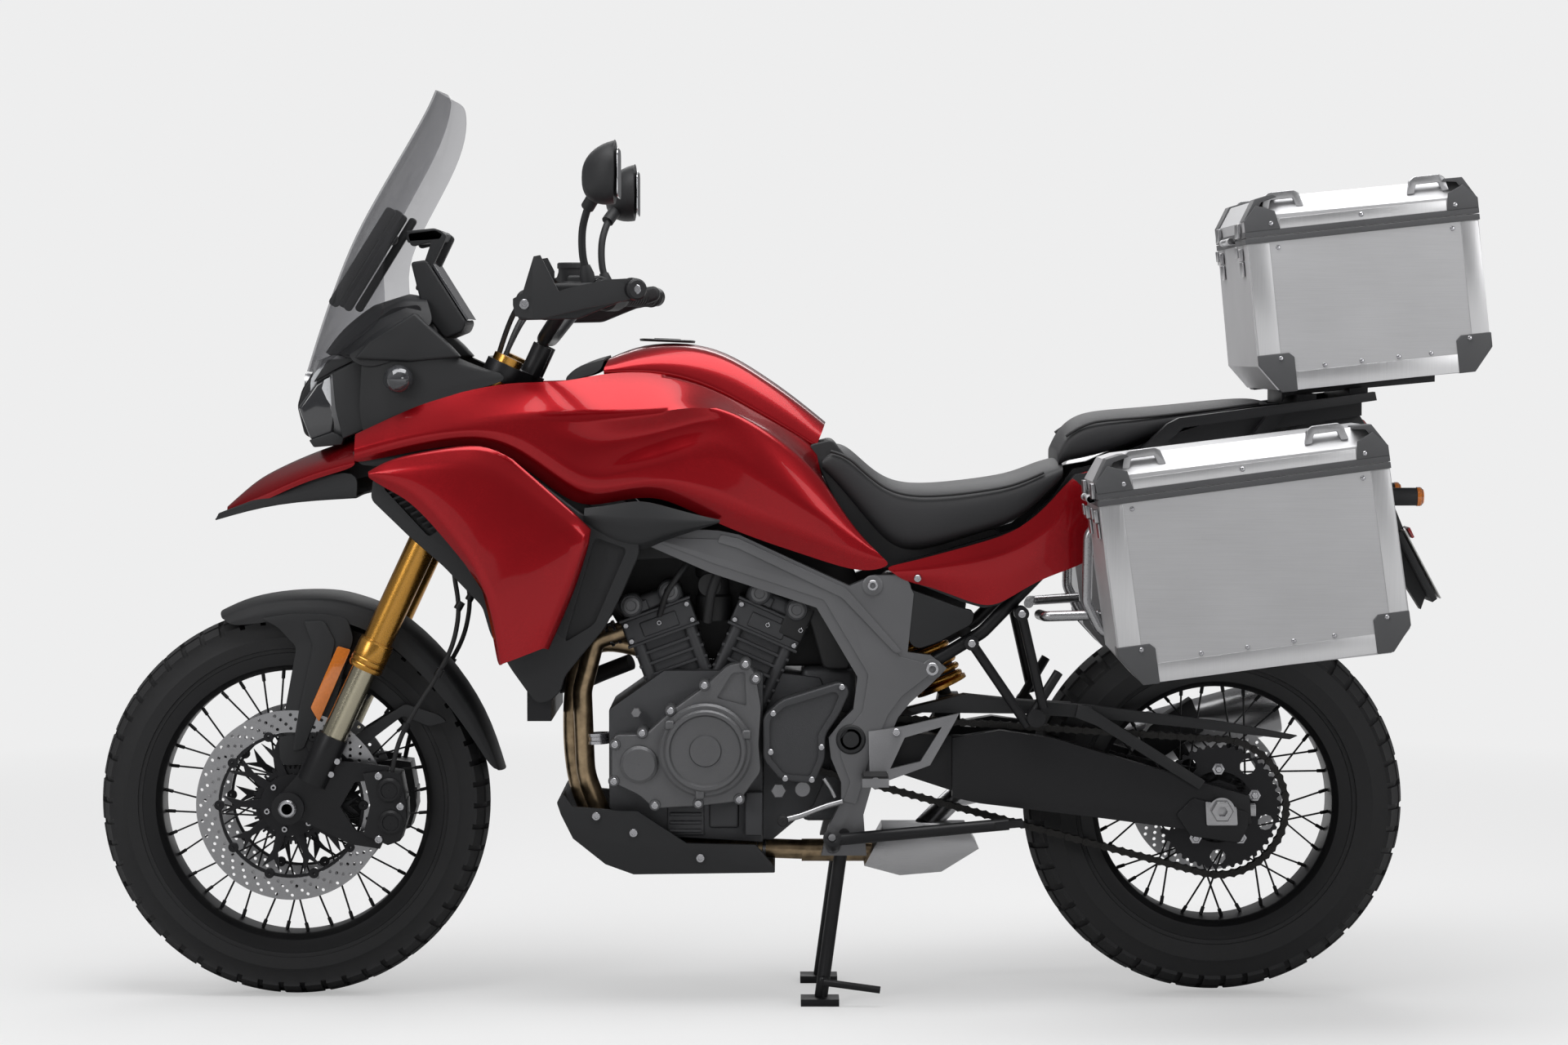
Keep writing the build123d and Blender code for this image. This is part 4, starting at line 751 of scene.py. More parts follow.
# cam covers: a ring of screws each, and a round plug over each camshaft's end
plugs, plug_screws = [], []
for lean, foot in cylinder_places:
    inside = cylinder_directions(lean, foot)[1]
    for out in (-1, 1):
        for along in (-34, 34):
            plug = [(0.3, 0), (14, 0), (14, 2), (12, 3), (9, 3), (8, 1.6), (0.3, 1.6)]
            spot = [v * mm for v in inside(along, out * 104, 185)]
            plugs.append(turned_piece("plug", plug, spot, aim=(0, out, 0), steps=24))
        for along, height in ((-54, 128), (54, 128), (-54, 156), (54, 156), (0, 142)):
            plug_screws.append(socket_screw(*inside(along, out * 98, height), out, radius=4.5))
fitted(joined("camshaft_plugs", plugs), cover_grey, "frame", "engine_casting")
fitted(joined("head_screws", plug_screws), bolt_steel, "frame", "bright_steel")

# two coolant hoses to the radiator, the breather and the coil's lead
coolant = [hose("coolant_upper", [(-262, -60, 655), (-300, -78, 690), (-345, -90, 712), (-388, -96, 716)], 14.0),
    hose("coolant_lower", [(-262, 60, 560), (-310, 80, 540), (-350, 92, 522), (-388, 96, 516)], 14.0),
    hose("breather", [(-128, -96, 640), (-122, -112, 690), (-100, -108, 745), (-70, -84, 775)], 8.0),
    hose("coil_lead", [(-208, -98, 650), (-196, -112, 690), (-168, -108, 730), (-140, -86, 765)], 5.0)]
fitted(joined("coolant_hoses", coolant), hose_rubber, "frame", "hose_rubber", smooth=60)


# ------------------------------------------------------------------ radiator, exhaust, skid plate
# An aluminium core in black; stainless headers browned by heat, held by bands; a
# silencer of brushed steel; a black skid plate on screws below the engine.
def dress(node, material):
    """Gives a CAD node its finish, in every slot that it has."""
    held = nodes[node]
    held.data.materials.clear()
    held.data.materials.append(material)


core_grey = stock_finish("radiator_core", (0.028, 0.028, 0.030), 0.5, metallic=0.6, grain=700.0,
    brushed=(0.2, 0.2, 6.0))
dress("radiator", core_grey)
heat_steel = stock_finish("browned_steel", (0.42, 0.31, 0.19), 0.32, metallic=1.0, grain=60.0, depth=0.05, drift=0.6)
dress("exhaust_headers", heat_steel)
rear_pipe = hose("rear_cylinder_header", [(-150, -4, 560), (-262, -6, 600), (-334, -8, 598), (-358, -12, 530),
    (-358, -14, 400), (-336, -16, 318), (-290, -20, 268), (-230, -22, 256)], 16.5, sides=10)
fitted(rear_pipe, heat_steel, "frame", "heated_steel", smooth=60)
collars = []
for x, z, aim in ((-288, 617, (-1, 0, -0.4)), (-312, 440, (0.05, 0, -1)), (-40, 247, (1, 0, 0))):
    band = [(17.2, -9), (21, -9), (21, -4), (19, -3), (19, 3), (21, 4), (21, 9), (17.2, 9)]
    collars.append(turned_piece("band", band, (x * mm, -0.050 if z > 300 else -0.008, z * mm), aim=aim, steps=28))
fitted(joined("header_bands", collars), bolt_steel, "frame", "heated_steel")
silver = stock_finish("brushed_steel", (0.48, 0.48, 0.49), 0.30, metallic=1.0, grain=400.0, depth=0.1,
    brushed=(0.08, 4.0, 4.0))
softened("muffler", 1.5, silver, "frame", "silencer_steel")
black_plastic = stock_finish("black_plastic", (0.015, 0.0155, 0.017), 0.55, grain=1400.0, depth=0.35)
softened("skid_plate", 4.0, black_plastic, "frame", "black_plastic")


def screws_each_side(name, places, body="frame"):
    """Socket screws on both sides of the machine, at places of x, out and z with the head's radius, in mm."""
    heads = [socket_screw(x, side * out, z, side, radius=radius) for side in (-1, 1) for x, out, z, radius in places]
    fitted(joined(name, heads), bolt_steel, body, "bright_steel")


screws_each_side("skid_plate_screws", [(-250, 150, 292, 7.0), (-139, 150, 250, 7.0), (-312, 150, 320, 7.0)])


# ------------------------------------------------------------------ main frame and rear frame
# Twin spars cast in aluminium, painted anthracite with a lighter upper facet, and
# a rear frame of welded steel tube bolted on behind.
anthracite = stock_finish("anthracite_paint", (0.168, 0.169, 0.175), 0.42, metallic=0.6, grain=1500.0, depth=0.2)
softened("main_frame", 5.0, anthracite, "frame", "frame_paint", segments=3)


def moulded_pair(name, outline, inner, outer, **shape):
    """A moulding on each side of the machine, from inner to outer mm out from its middle."""
    return [moulding(name, outline, *sorted((side * inner, side * outer)), **shape) for side in (-1, 1)]


def turned_pair(name, profile, x, out, z, steps):
    """A turned piece on each side of the machine, looking outwards from its place in mm."""
    return [turned_piece(name, profile, (x * mm, side * out * mm, z * mm), aim=(0, side, 0), steps=steps)
        for side in (-1, 1)]


face = [(-212, 784), (-105, 781), (-70, 774), (100, 690), (192, 586), (236, 574), (250, 564), (232, 548), (196, 520),
    (172, 488), (140, 410), (120, 340), (98, 345), (110, 376), (94, 420), (92, 448), (112, 472), (130, 494),
    (140, 556), (66, 680), (-116, 740), (-214, 778)]
ridge = [(-104, 789), (-74, 782), (103, 699), (196, 594), (184, 592), (96, 684), (-76, 766), (-110, 776)]
spar_faces = [*moulded_pair("face", face, 144, 154, rounding=4.0, edge=5.0),
    *moulded_pair("ridge", ridge, 148, 157, rounding=3.0, edge=4.0)]
fitted(joined("spar_faces", spar_faces), anthracite, "frame", "frame_paint", smooth=40)
black_steel = stock_finish("black_steel", (0.012, 0.012, 0.0135), 0.42, metallic=0.3, grain=600.0)
dress("rear_subframe", black_steel)
screws_each_side("frame_screws", [(246, 150, 565, 11.0), (147, 150, 704, 9.0), (82, 136, 276, 7.0),
    (108, 136, 272, 7.0)])
cap_form = [(0.5, 0), (25, 0), (25, 4), (22, 6.5), (18, 6.5), (17, 4), (14, 4), (13, 6), (0.5, 6)]
fitted(joined("pivot_caps", turned_pair("pivot_cap", cap_form, 111, 150, 448, 32)), black_plastic, "frame",
    "black_plastic")
boss_form = [(0.5, 0), (17, 0), (17, 1.5), (15, 2.6), (0.5, 2.6)]
spar_bosses = turned_pair("boss", boss_form, 246, 150, 565, 28) + turned_pair("boss", boss_form, 147, 150, 704, 28)
fitted(joined("frame_bosses", spar_bosses), anthracite, "frame", "frame_paint")


# ------------------------------------------------------------------ swingarm, shock, chain guard, rear brake
# A black welded aluminium arm with bright axle adjusters, a gold spring over its
# damper, a moulded chain guard and a small black caliper.
softened("swingarm", 6.0, black_steel, "frame", "black_steel", segments=3)
softened("chain_guard", 2.0, black_plastic, "frame", "black_plastic")
softened("rear_caliper", 2.5, black_steel, "frame", "caliper_black")
axle_plates = moulded_pair("axle_plate", [(652, 322), (680, 350), (772, 326), (772, 300), (757, 274), (676, 286)],
    140, 147, rounding=5.0, edge=1.5)
fitted(joined("axle_plates", axle_plates), black_steel, "frame", "black_steel")
axle_x, axle_z = (length / mm for length in rear_axle)
blocks = [*moulded_pair("adjuster", [(700, 345), (752, 335), (754, 304), (702, 304)], 147, 152, rounding=3.0,
    edge=1.2),
    *moulded_pair("adjuster_end", [(772, 318), (786, 318), (786, 338), (772, 338)], 118, 138, edge=1.5),
    *turned_pair("axle_nut", [(9.0, 0), (19, 0), (19, 9), (17, 11), (9.0, 11)], axle_x, 152, axle_z, 6),
    *turned_pair("axle_washer", [(9.0, 0), (22, 0), (22, 2), (9.0, 2)], axle_x, 151, axle_z, 32)]
fitted(joined("axle_adjusters", blocks), silver, "frame", "bright_steel")
gold = stock_finish("gold_anodising", (0.60, 0.30, 0.055), 0.28, metallic=1.0, grain=500.0, depth=0.06, coat=0.3)
dress("shock_absorber", black_steel)
shock_top, shock_foot = Vector((188, 0, 700)), Vector((279, 0, 498))
shock_run = shock_foot - shock_top
aside = shock_run.cross(Vector((0, 1, 0))).normalized()
turns, steps_a_turn, coil_radius = 7.5, 12, 38
helix = []
for n in range(int(turns * steps_a_turn) + 1):
    angle = math.tau * n / steps_a_turn
    share = 0.40 + 0.46 * n / (turns * steps_a_turn)
    outward = aside * math.cos(angle) + Vector((0, 1, 0)) * math.sin(angle)
    helix.append(tuple(shock_top + shock_run * share + outward * coil_radius))
fitted(hose("shock_spring", helix, 5.5, sides=3), gold, "frame", "gold_spring", smooth=60)
seats_of_spring = []
for share, aim in ((0.37, 1), (0.88, -1)):
    spot = shock_top + shock_run * share
    cup = [(12, 0), (45, 0), (45, 6), (36, 10), (12, 10)]
    seats_of_spring.append(turned_piece("cup", cup, tuple(spot * mm), aim=tuple(shock_run.normalized() * aim),
        steps=32))
fitted(joined("spring_cups", seats_of_spring), gold, "frame", "gold_spring")


# ------------------------------------------------------------------ footrests and stands
# Cast light-alloy heel guards and pegs with rubber treads, black rests for the
# passenger, shift and brake levers, and two steel stands on bodies of their own.
rider_rests = softened("footrests", 1.6, light_casting, "frame", "engine_casting")
hold(rider_rests)
choose(rider_rests, "FACE", lambda face: face.center.x > 0.262)
bpy.ops.mesh.separate(type="SELECTED")
close_mesh()
passenger_rests = [piece for piece in bpy.context.selected_objects if piece is not rider_rests][0]
passenger_rests.name = "passenger_rests"
fitted(passenger_rests, black_steel, "frame", "black_steel")
pads = moulded_pair("tread_base", [(128, 390), (172, 390), (172, 393), (128, 393)], 163, 239, edge=0.8)
for n in range(6):
    near = 168 + 12 * n
    pads += moulded_pair("tread", [(130, 391), (170, 391), (170, 397), (130, 397)], near, near + 7, edge=1.2)
fitted(joined("footrest_rubbers", pads), rubber, "frame", "tyre_rubber")
screws_each_side("footrest_screws", [(186, 162, 461, 6.5), (152, 162, 381, 6.5), (311, 158, 608, 6.5),
    (394, 158, 657, 6.5)])
lever_parts = [hose("shift_lever", [(96, -150, 344), (70, -160, 338), (30, -172, 324), (0, -180, 317)], 5.0),
    hose("shift_rod", [(84, -152, 352), (78, -156, 366), (66, -158, 384)], 3.5)]
fitted(joined("shift_lever", lever_parts), silver, "frame", "bright_steel", smooth=60)
pedal = hose("brake_pedal", [(112, 160, 356), (60, 172, 338), (10, 182, 318), (-24, 184, 318)], 5.5)
fitted(pedal, silver, "frame", "bright_steel", smooth=60)
tip = turned_piece("shift_tip", [(0.5, -16), (7, -16), (9, -13), (9, 13), (7, 16), (0.5, 16)],
    (-0.002, -0.186, 0.317), steps=18)
pedal_tip = moulding("pedal_tip", [(-36, 316), (-8, 316), (-8, 323), (-36, 323)], -204, -170, edge=1.5)
fitted(joined("lever_rubbers", [tip, pedal_tip]), rubber, "frame", "tyre_rubber")
for stand in ("centre_stand", "side_stand"):
    softened(stand, 1.0, black_steel, stand, "black_steel")


# ------------------------------------------------------------------ painted body sides
# Injection-moulded panels in candy red: one long skin a side, from the beak's
# seam past the tank's sculpted hollow to the seat, clipped to tank and frame.
def candy_red():
    """Deep red base with fine metal flake under a clear coat."""
    material = stock_finish("red_paint", (0.36, 0.004, 0.009), 0.25, metallic=0.62, grain=2600.0, depth=0.02,
        drift=0.10, coat=0.5)
    tree = material.node_tree
    link = tree.links.new
    shader = tree.nodes["Principled BSDF"]
    ramp = next(node for node in tree.nodes if node.type == "VALTORGB")
    facing = added(tree, "LayerWeight", Blend=0.42)
    deep = added(tree, "Mix")
    deep.data_type = "RGBA"
    deep.inputs["B"].default_value = (0.10, 0.001, 0.003, 1.0)
    shader.inputs["Coat IOR"].default_value = 1.38
    shader.inputs["Specular IOR Level"].default_value = 0.25
    link(facing.outputs["Facing"], deep.inputs["Factor"])
    link(ramp.outputs["Color"], deep.inputs["A"])
    link(deep.outputs["Result"], shader.inputs["Base Color"])
    return material


def thickened(piece, wall):
    """Gives an open sheet a wall in mm, inwards from the face that is seen."""
    sheet = piece.modifiers.new("wall", "SOLIDIFY")
    sheet.thickness, sheet.offset = wall * mm, -1.0
    bpy.ops.object.modifier_apply(modifier=sheet.name)
    return piece


def skin(name, lines, wall=2.5, creased=(), mirrored=True, levels=2, sharpness=0.9, ribs=()):
    """A panel on its character lines, each a row of (x, out from the middle, z) in mm, smoothed between them."""
    columns = len(lines[0])
    put_tools_down()
    bpy.ops.mesh.primitive_grid_add(x_subdivisions=columns - 1, y_subdivisions=len(lines) - 1)
    piece = bpy.context.object
    piece.name = name
    for row, line in enumerate(lines):
        for column, (x, out, z) in enumerate(line):
            piece.data.vertices[row * columns + column].co = (x * mm, -out * mm, z * mm)

    def sharp(rim):
        (a, across_a), (b, across_b) = (divmod(index, columns) for index in rim.vertices)
        return (a == b and a in creased) or (across_a == across_b and across_a in ribs)

    if creased or ribs:
        choose(piece, "EDGE", sharp)
        bpy.ops.transform.edge_crease(value=sharpness)
        close_mesh()
    if mirrored:
        twin = piece.modifiers.new("other_side", "MIRROR")
        twin.use_axis = (False, True, False)
        twin.use_clip = True
        twin.merge_threshold = 0.5 * mm
        bpy.ops.object.modifier_apply(modifier=twin.name)
    round_off = piece.modifiers.new("smoothed", "SUBSURF")
    round_off.levels = round_off.render_levels = levels
    bpy.ops.object.modifier_apply(modifier=round_off.name)
    open_mesh()
    bpy.ops.mesh.remove_doubles(threshold=0.05 * mm)
    bpy.ops.mesh.normals_make_consistent(inside=False)
    close_mesh()
    return thickened(piece, wall) if wall else piece


def outward_faces(piece, away_from=(0, 0, 0.7)):
    """Turns an open sheet's faces so that they look away from the machine's middle."""
    centre = Vector(away_from)
    score = sum((face.center - Vector((face.center.x, 0, centre.z))).dot(face.normal) * face.area
        for face in piece.data.polygons)
    if score < 0:
        hold(piece)
        open_mesh()
        bpy.ops.mesh.flip_normals()
        close_mesh()


red = candy_red()
foot = [(-709, 160, 906), (-624, 164, 924), (-545, 166, 938), (-484, 166, 936), (-420, 168, 896), (-345, 168, 833),
    (-290, 166, 841), (-218, 163, 856), (-165, 161, 834), (-100, 159, 803), (-30, 157, 776), (50, 154, 750),
    (129, 150, 723), (178, 146, 736)]
lower = [(-709, 166, 913), (-624, 171, 934), (-545, 175, 950), (-476, 177, 950), (-408, 181, 914), (-338, 184, 860),
    (-285, 182, 862), (-215, 179, 878), (-158, 178, 862), (-92, 176, 834), (-25, 172, 808), (56, 166, 780),
    (120, 157, 756), (168, 149, 746)]
brow = [(-709, 168, 919), (-622, 173, 944), (-543, 177, 960), (-472, 179, 962), (-402, 182, 938), (-333, 184, 884),
    (-280, 182, 893), (-213, 178, 910), (-158, 176, 928), (-98, 174, 948), (-34, 174, 880), (40, 169, 836),
    (104, 158, 794), (156, 150, 758)]
hollow = [(-709, 168, 924), (-618, 174, 951), (-541, 177, 966), (-468, 179, 971), (-398, 180, 960), (-332, 176, 925),
    (-278, 160, 938), (-214, 150, 954), (-160, 152, 970), (-104, 163, 982), (-44, 171, 930), (22, 164, 884),
    (88, 153, 832), (138, 148, 776)]
ridge = [(-709, 168, 930), (-614, 173, 957), (-540, 175, 971), (-466, 177, 980), (-398, 178, 985), (-343, 178, 988),
    (-284, 175, 987), (-228, 172, 987), (-173, 169, 998), (-112, 165, 1001), (-52, 159, 974), (10, 152, 932),
    (72, 144, 872), (109, 141, 808)]
upper = [(-709, 160, 944), (-618, 162, 980), (-552, 162, 1000), (-466, 160, 1016), (-410, 156, 1022),
    (-352, 150, 1022), (-292, 144, 1026), (-230, 141, 1030), (-173, 137, 1026), (-113, 131, 1013), (-48, 123, 984),
    (8, 117, 948), (48, 113, 910), (62, 113, 874)]
seam = [(-709, 150, 955), (-622, 150, 996), (-562, 151, 1019), (-466, 151, 1040), (-410, 149, 1041),
    (-360, 134, 1042), (-302, 113, 1056), (-235, 110, 1059), (-175, 108, 1051), (-115, 104, 1030), (-60, 100, 1000),
    (0, 94, 966), (38, 92, 944), (54, 92, 926)]
hem = [(x, out - (3 if x < -330 else 9), z - (10 if x < -330 else 7)) for x, out, z in seam]
body_side = skin("body_side_skins", [foot, lower, brow, hollow, ridge, upper, seam, hem], wall=0, creased=(1, 2, 4, 6))
outward_faces(body_side)
fitted(thickened(body_side, 2.6), red, "frame", "red_paint", smooth=60)


# ------------------------------------------------------------------ tank
# Painted steel tank top between the side skins, pressed in one piece, with a
# flush filler and the black trim that closes it towards the steering head.
seam_in = [(-300, 110.5, 1058), (-235, 107.5, 1061), (-175, 105.5, 1053), (-115, 101.5, 1032), (-60, 97.5, 1002),
    (0, 91.5, 968), (54, 89, 934)]
flank = [(-299, 106, 1066), (-235, 102, 1080), (-172, 98, 1077), (-109, 92, 1057), (-52, 86, 1026), (8, 82, 989),
    (62, 78, 952)]
edge_line = [(-292, 84, 1079), (-240, 74, 1098), (-165, 68, 1102), (-100, 65, 1085), (-43, 62, 1050), (15, 59, 1011),
    (68, 57, 968)]
middle = [(-284, 0, 1086), (-240, 0, 1107), (-160, 0, 1110), (-98, 0, 1095), (-38, 0, 1058), (18, 0, 1018),
    (71, 0, 974)]
tank_under = [(x, out - 7, z - 12) for x, out, z in seam_in]
tank_top = skin("tank_top", [tank_under, seam_in, flank, edge_line, middle], wall=0, creased=(1, 3), sharpness=0.6)
outward_faces(tank_top)
fitted(tank_top, red, "frame", "red_paint", "fuel_tank", smooth=60)
tank_core = [(-345, 846), (-290, 858), (-218, 874), (-100, 820), (50, 765), (129, 738), (100, 812), (50, 905),
    (0, 950), (-60, 984), (-115, 1014), (-175, 1032), (-300, 1036), (-352, 1000)]
tank_base = moulding("tank_shell", tank_core, -92.0, 92.0, rounding=18.0, edge=12.0)
# the space that the steering sweeps, round its leaning axis
sweep_cut = turned_piece("sweep", [(0.5, -200), (146, -200), (146, 260), (0.5, 260)], (-0.442, 0, 1.040),
    aim=(0.422618, 0, 0.906308), steps=48)
cut_away(tank_base, sweep_cut)
inner_black = stock_finish("inner_black", (0.012, 0.012, 0.013), 0.6, grain=900.0, depth=0.3)
fitted(tank_base, inner_black, "frame", "black_plastic")
filler = turned_piece("filler_cap", [(1, 0), (46, 0), (47, 2), (47, 4), (40, 5), (38, 3.4), (24, 3.4), (22, 6),
    (1, 6.4)], (-0.197, 0, 1.107), aim=(0.04, 0, 1.0), steps=40)
fitted(filler, black_steel, "frame", "black_steel")
trim = skin("tank_front_trim", [
    [(-366, 96, 1040), (-346, 100, 1046), (-304, 102, 1056)],
    [(-362, 92, 1050), (-345, 96, 1068), (-300, 100, 1078)],
    [(-352, 60, 1052), (-338, 62, 1072), (-296, 66, 1083)],
    [(-346, 0, 1054), (-334, 0, 1074), (-292, 0, 1086)]], wall=3.0, creased=(1,))
fitted(trim, black_plastic, "frame", "black_plastic", smooth=45)


# ------------------------------------------------------------------ beak
# A short red beak over the wheel, moulded with two ridges; it joins the side
# skins in front of the lamp, and its black tray is one of the nose's panels.
stations = [(-942, 10, 829, 824), (-896, 44, 869, 842), (-866, 72, 888, 852), (-794, 122, 921, 886),
    (-709, 165, 950, 908)]
beak_lines = []
for share, drop, fall in ((0.97, 1.0, 9), (1.0, 1.0, 0), (0.93, 0.55, 0), (0.55, 0.0, 0), (0.22, 0.16, 0),
        (0.0, 0.2, 0)):
    beak_lines.append([(x, half * share, top - (top - low) * drop - fall) for x, half, top, low in stations])
beak = skin("beak_shell", beak_lines, wall=0, creased=(1, 3), sharpness=0.8)
outward_faces(beak, away_from=(0, 0, 0.5))
fitted(thickened(beak, 3.0), red, "frame", "red_paint", "beak", smooth=60)


# ------------------------------------------------------------------ cheek panels
# A red shield on each side, standing off the radiator duct: a light upper band,
# a hollow-ground leading edge and a turned-in rear edge.
lead = [(-683, 198, 884), (-652, 202, 866), (-612, 208, 846), (-566, 214, 796), (-523, 220, 744), (-494, 224, 700),
    (-479, 225, 640), (-469, 226, 573)]
nose_crease = [(-682, 201, 887), (-643, 210, 879), (-598, 218, 859), (-543, 227, 798), (-504, 233, 738),
    (-484, 236, 686), (-470, 236, 632), (-462, 235, 580)]
belly = [(-682, 202, 889), (-641, 212, 890), (-586, 221, 880), (-524, 231, 848), (-470, 236, 790), (-425, 238, 725),
    (-414, 237, 660), (-430, 235, 592)]
band = [(-682, 202, 891), (-638, 211, 897), (-576, 219, 903), (-503, 226, 912), (-446, 228, 880), (-325, 229, 790),
    (-350, 231, 703), (-394, 231, 606)]
top_edge = [(-683, 199, 894), (-646, 202, 917), (-570, 207, 931), (-495, 212, 943), (-446, 216, 917),
    (-313, 218, 800), (-339, 220, 705), (-386, 222, 603)]
return_edge = [(x, out - 9, z) for x, out, z in top_edge]
cheeks = skin("cheek_panels", [lead, nose_crease, belly, band, top_edge, return_edge], wall=0, creased=(1, 3, 4),
    ribs=(4, 5))
outward_faces(cheeks)
fitted(thickened(cheeks, 3.0), red, "frame", "red_paint", "side_fairings", smooth=60)


# ------------------------------------------------------------------ radiator ducts
# Black shrouds behind the cheeks, grained plastic, with a ribbed intake in front
# and a side vent, and an arrow-shaped wing that closes the gap below the tank.
def on_both_sides(piece):
    """Adds the mirror image on the machine's other side."""
    hold(piece)
    twin = piece.modifiers.new("other_side", "MIRROR")
    twin.use_axis = (False, True, False)
    bpy.ops.object.modifier_apply(modifier=twin.name)
    return piece


duct = moulding("duct_shell", [(-330, 822), (-240, 800), (-238, 758), (-268, 690), (-295, 636), (-329, 596),
    (-362, 555), (-368, 531), (-388, 513), (-410, 512), (-450, 568), (-484, 626), (-497, 671), (-561, 738),
    (-615, 785), (-680, 848), (-676, 884), (-500, 928), (-420, 890)], 166.0, 190.0, rounding=8.0, edge=3.0)
cut_away(duct, moulding("vent", [(-311, 786), (-258, 767), (-312, 642), (-362, 612)], 178.0, 200.0, rounding=8.0))
cut_away(duct, moulding("intake", [(-660, 868), (-625, 876), (-566, 800), (-584, 786)], 176.0, 200.0, rounding=6.0))
fitted(on_both_sides(duct), black_plastic, "frame", "black_plastic", "radiator_ducts", smooth=40)
ribs = []
for n in range(9):
    x, z = -650 + 9.5 * n, 858 - 8.4 * n
    ribs.append(moulding("rib", [(x - 3, z + 1), (x + 22, z + 11), (x + 24, z + 8), (x - 1, z - 2)], 177.0, 189.0))
fitted(on_both_sides(joined("intake_ribs", ribs)), black_steel, "frame", "black_plastic")
wing_lines = [
    [(-330, 178, 808), (-289, 178, 776), (-235, 178, 759), (-207, 178, 777), (-150, 172, 795), (-107, 166, 808)],
    [(-330, 190, 812), (-289, 192, 784), (-236, 194, 772), (-205, 194, 790), (-150, 187, 801), (-106, 172, 810)],
    [(-329, 196, 822), (-289, 199, 815), (-240, 200, 810), (-206, 199, 812), (-150, 189, 812), (-106, 172, 812)],
    [(-328, 188, 834), (-280, 189, 840), (-240, 190, 848), (-207, 190, 841), (-150, 182, 824), (-106, 170, 814)],
    [(-328, 172, 832), (-280, 172, 838), (-240, 172, 846), (-207, 172, 839), (-150, 168, 822), (-106, 162, 812)]]
wings = skin("duct_wings", wing_lines, creased=(1, 2, 3), sharpness=0.7)
fitted(wings, black_plastic, "frame", "black_plastic", smooth=45)


# ------------------------------------------------------------------ fork and front axle
# Upside-down fork: gold anodised outer tubes, champagne inner tubes with a wiper
# collar, and black cast axle carriers that are clamped round the hollow axle.
rake = math.radians(25)
up_fork = Vector((math.sin(rake), 0, math.cos(rake)))
fork_point = Vector((-687, 0, 590))
fork_spread = 105.0


def on_fork(along, side, back=0.0):
    """A point on a fork leg in metres, up the leg from its datum and back from it."""
    spot = fork_point + up_fork * along + Vector((up_fork.z, 0, -up_fork.x)) * back
    return (spot.x * mm, side * fork_spread * mm, spot.z * mm)


dress("fork_tubes", gold)
champagne = stock_finish("champagne_tube", (0.52, 0.48, 0.36), 0.22, metallic=1.0, grain=400.0, depth=0.05)
dress("fork_sliders", champagne)
softened("axle_carriers", 3.0, black_steel, "steering", "black_steel", segments=3)
rings, screws = [], []
for side in (-1, 1):
    wiper = [(21.8, -10), (27, -10), (29.5, -6), (29.5, -2), (28, 0), (29.5, 2), (29.5, 8), (28, 10), (29.5, 12),
        (29.5, 36), (27, 42), (25.2, 42), (25.2, 0), (21.8, 0)]
    rings.append(turned_piece("wiper", wiper, on_fork(-22, side), aim=tuple(up_fork), steps=40))
    for height in (-190, -214):
        spot = on_fork(height, side, 24)
        screws.append(turned_piece("pinch", [(0.3, -16), (5, -16), (5, 16), (0.3, 16)], spot, steps=14))
    axle_end = [(9.2, 0), (15, 0), (15, 5), (12.5, 8), (9.2, 8)]
    screws.append(turned_piece("axle_end", axle_end, (front_axle[0], side * 0.127, front_axle[-1]), aim=(0, side, 0),
        steps=32))
fitted(joined("fork_wipers", rings), gold, "steering", "gold_anodised")
fitted(joined("fork_screws", screws), bolt_steel, "steering", "bright_steel")


# ------------------------------------------------------------------ front brakes
# Two four-piston radial calipers, black, each on two bolts, with pads in a
# window and a rubber hose that follows the fork.
softened("front_calipers", 3.0, black_steel, "steering", "caliper_black", segments=3)
piston = [(0.5, 0), (21, 0), (21, 3), (17, 6), (14, 6), (13, 4), (0.5, 4)]
caliper_parts = [*turned_pair("piston_cap", piston, -658, 125, 360, 28),
    *turned_pair("piston_cap", piston, -656, 125, 306, 28),
    *moulded_pair("bridge", [(-648, 346), (-630, 344), (-630, 322), (-648, 320)], 60, 122, edge=2.0)]
fitted(joined("caliper_pistons", caliper_parts), black_steel, "steering", "caliper_black")
screws_each_side("caliper_bolts", [(-676, 125, 384, 6.5), (-676, 125, 278, 6.5), (-640, 125, 333, 6.5)], "steering")
dress("brake_hoses", hose_rubber)
clip = [(4.2, -7), (7, -7), (7, 7), (4.2, 7)]
clips = [turned_piece("clip", clip, (x * mm, side * y * mm, z * mm), aim=(0.5, 0, 0.9), steps=16)
    for side in (-1, 1) for x, y, z in ((-541, 113, 668), (-575, 117.5, 556), (-632, 117, 465))]
fitted(joined("hose_clips", clips), black_steel, "steering", "black_steel")


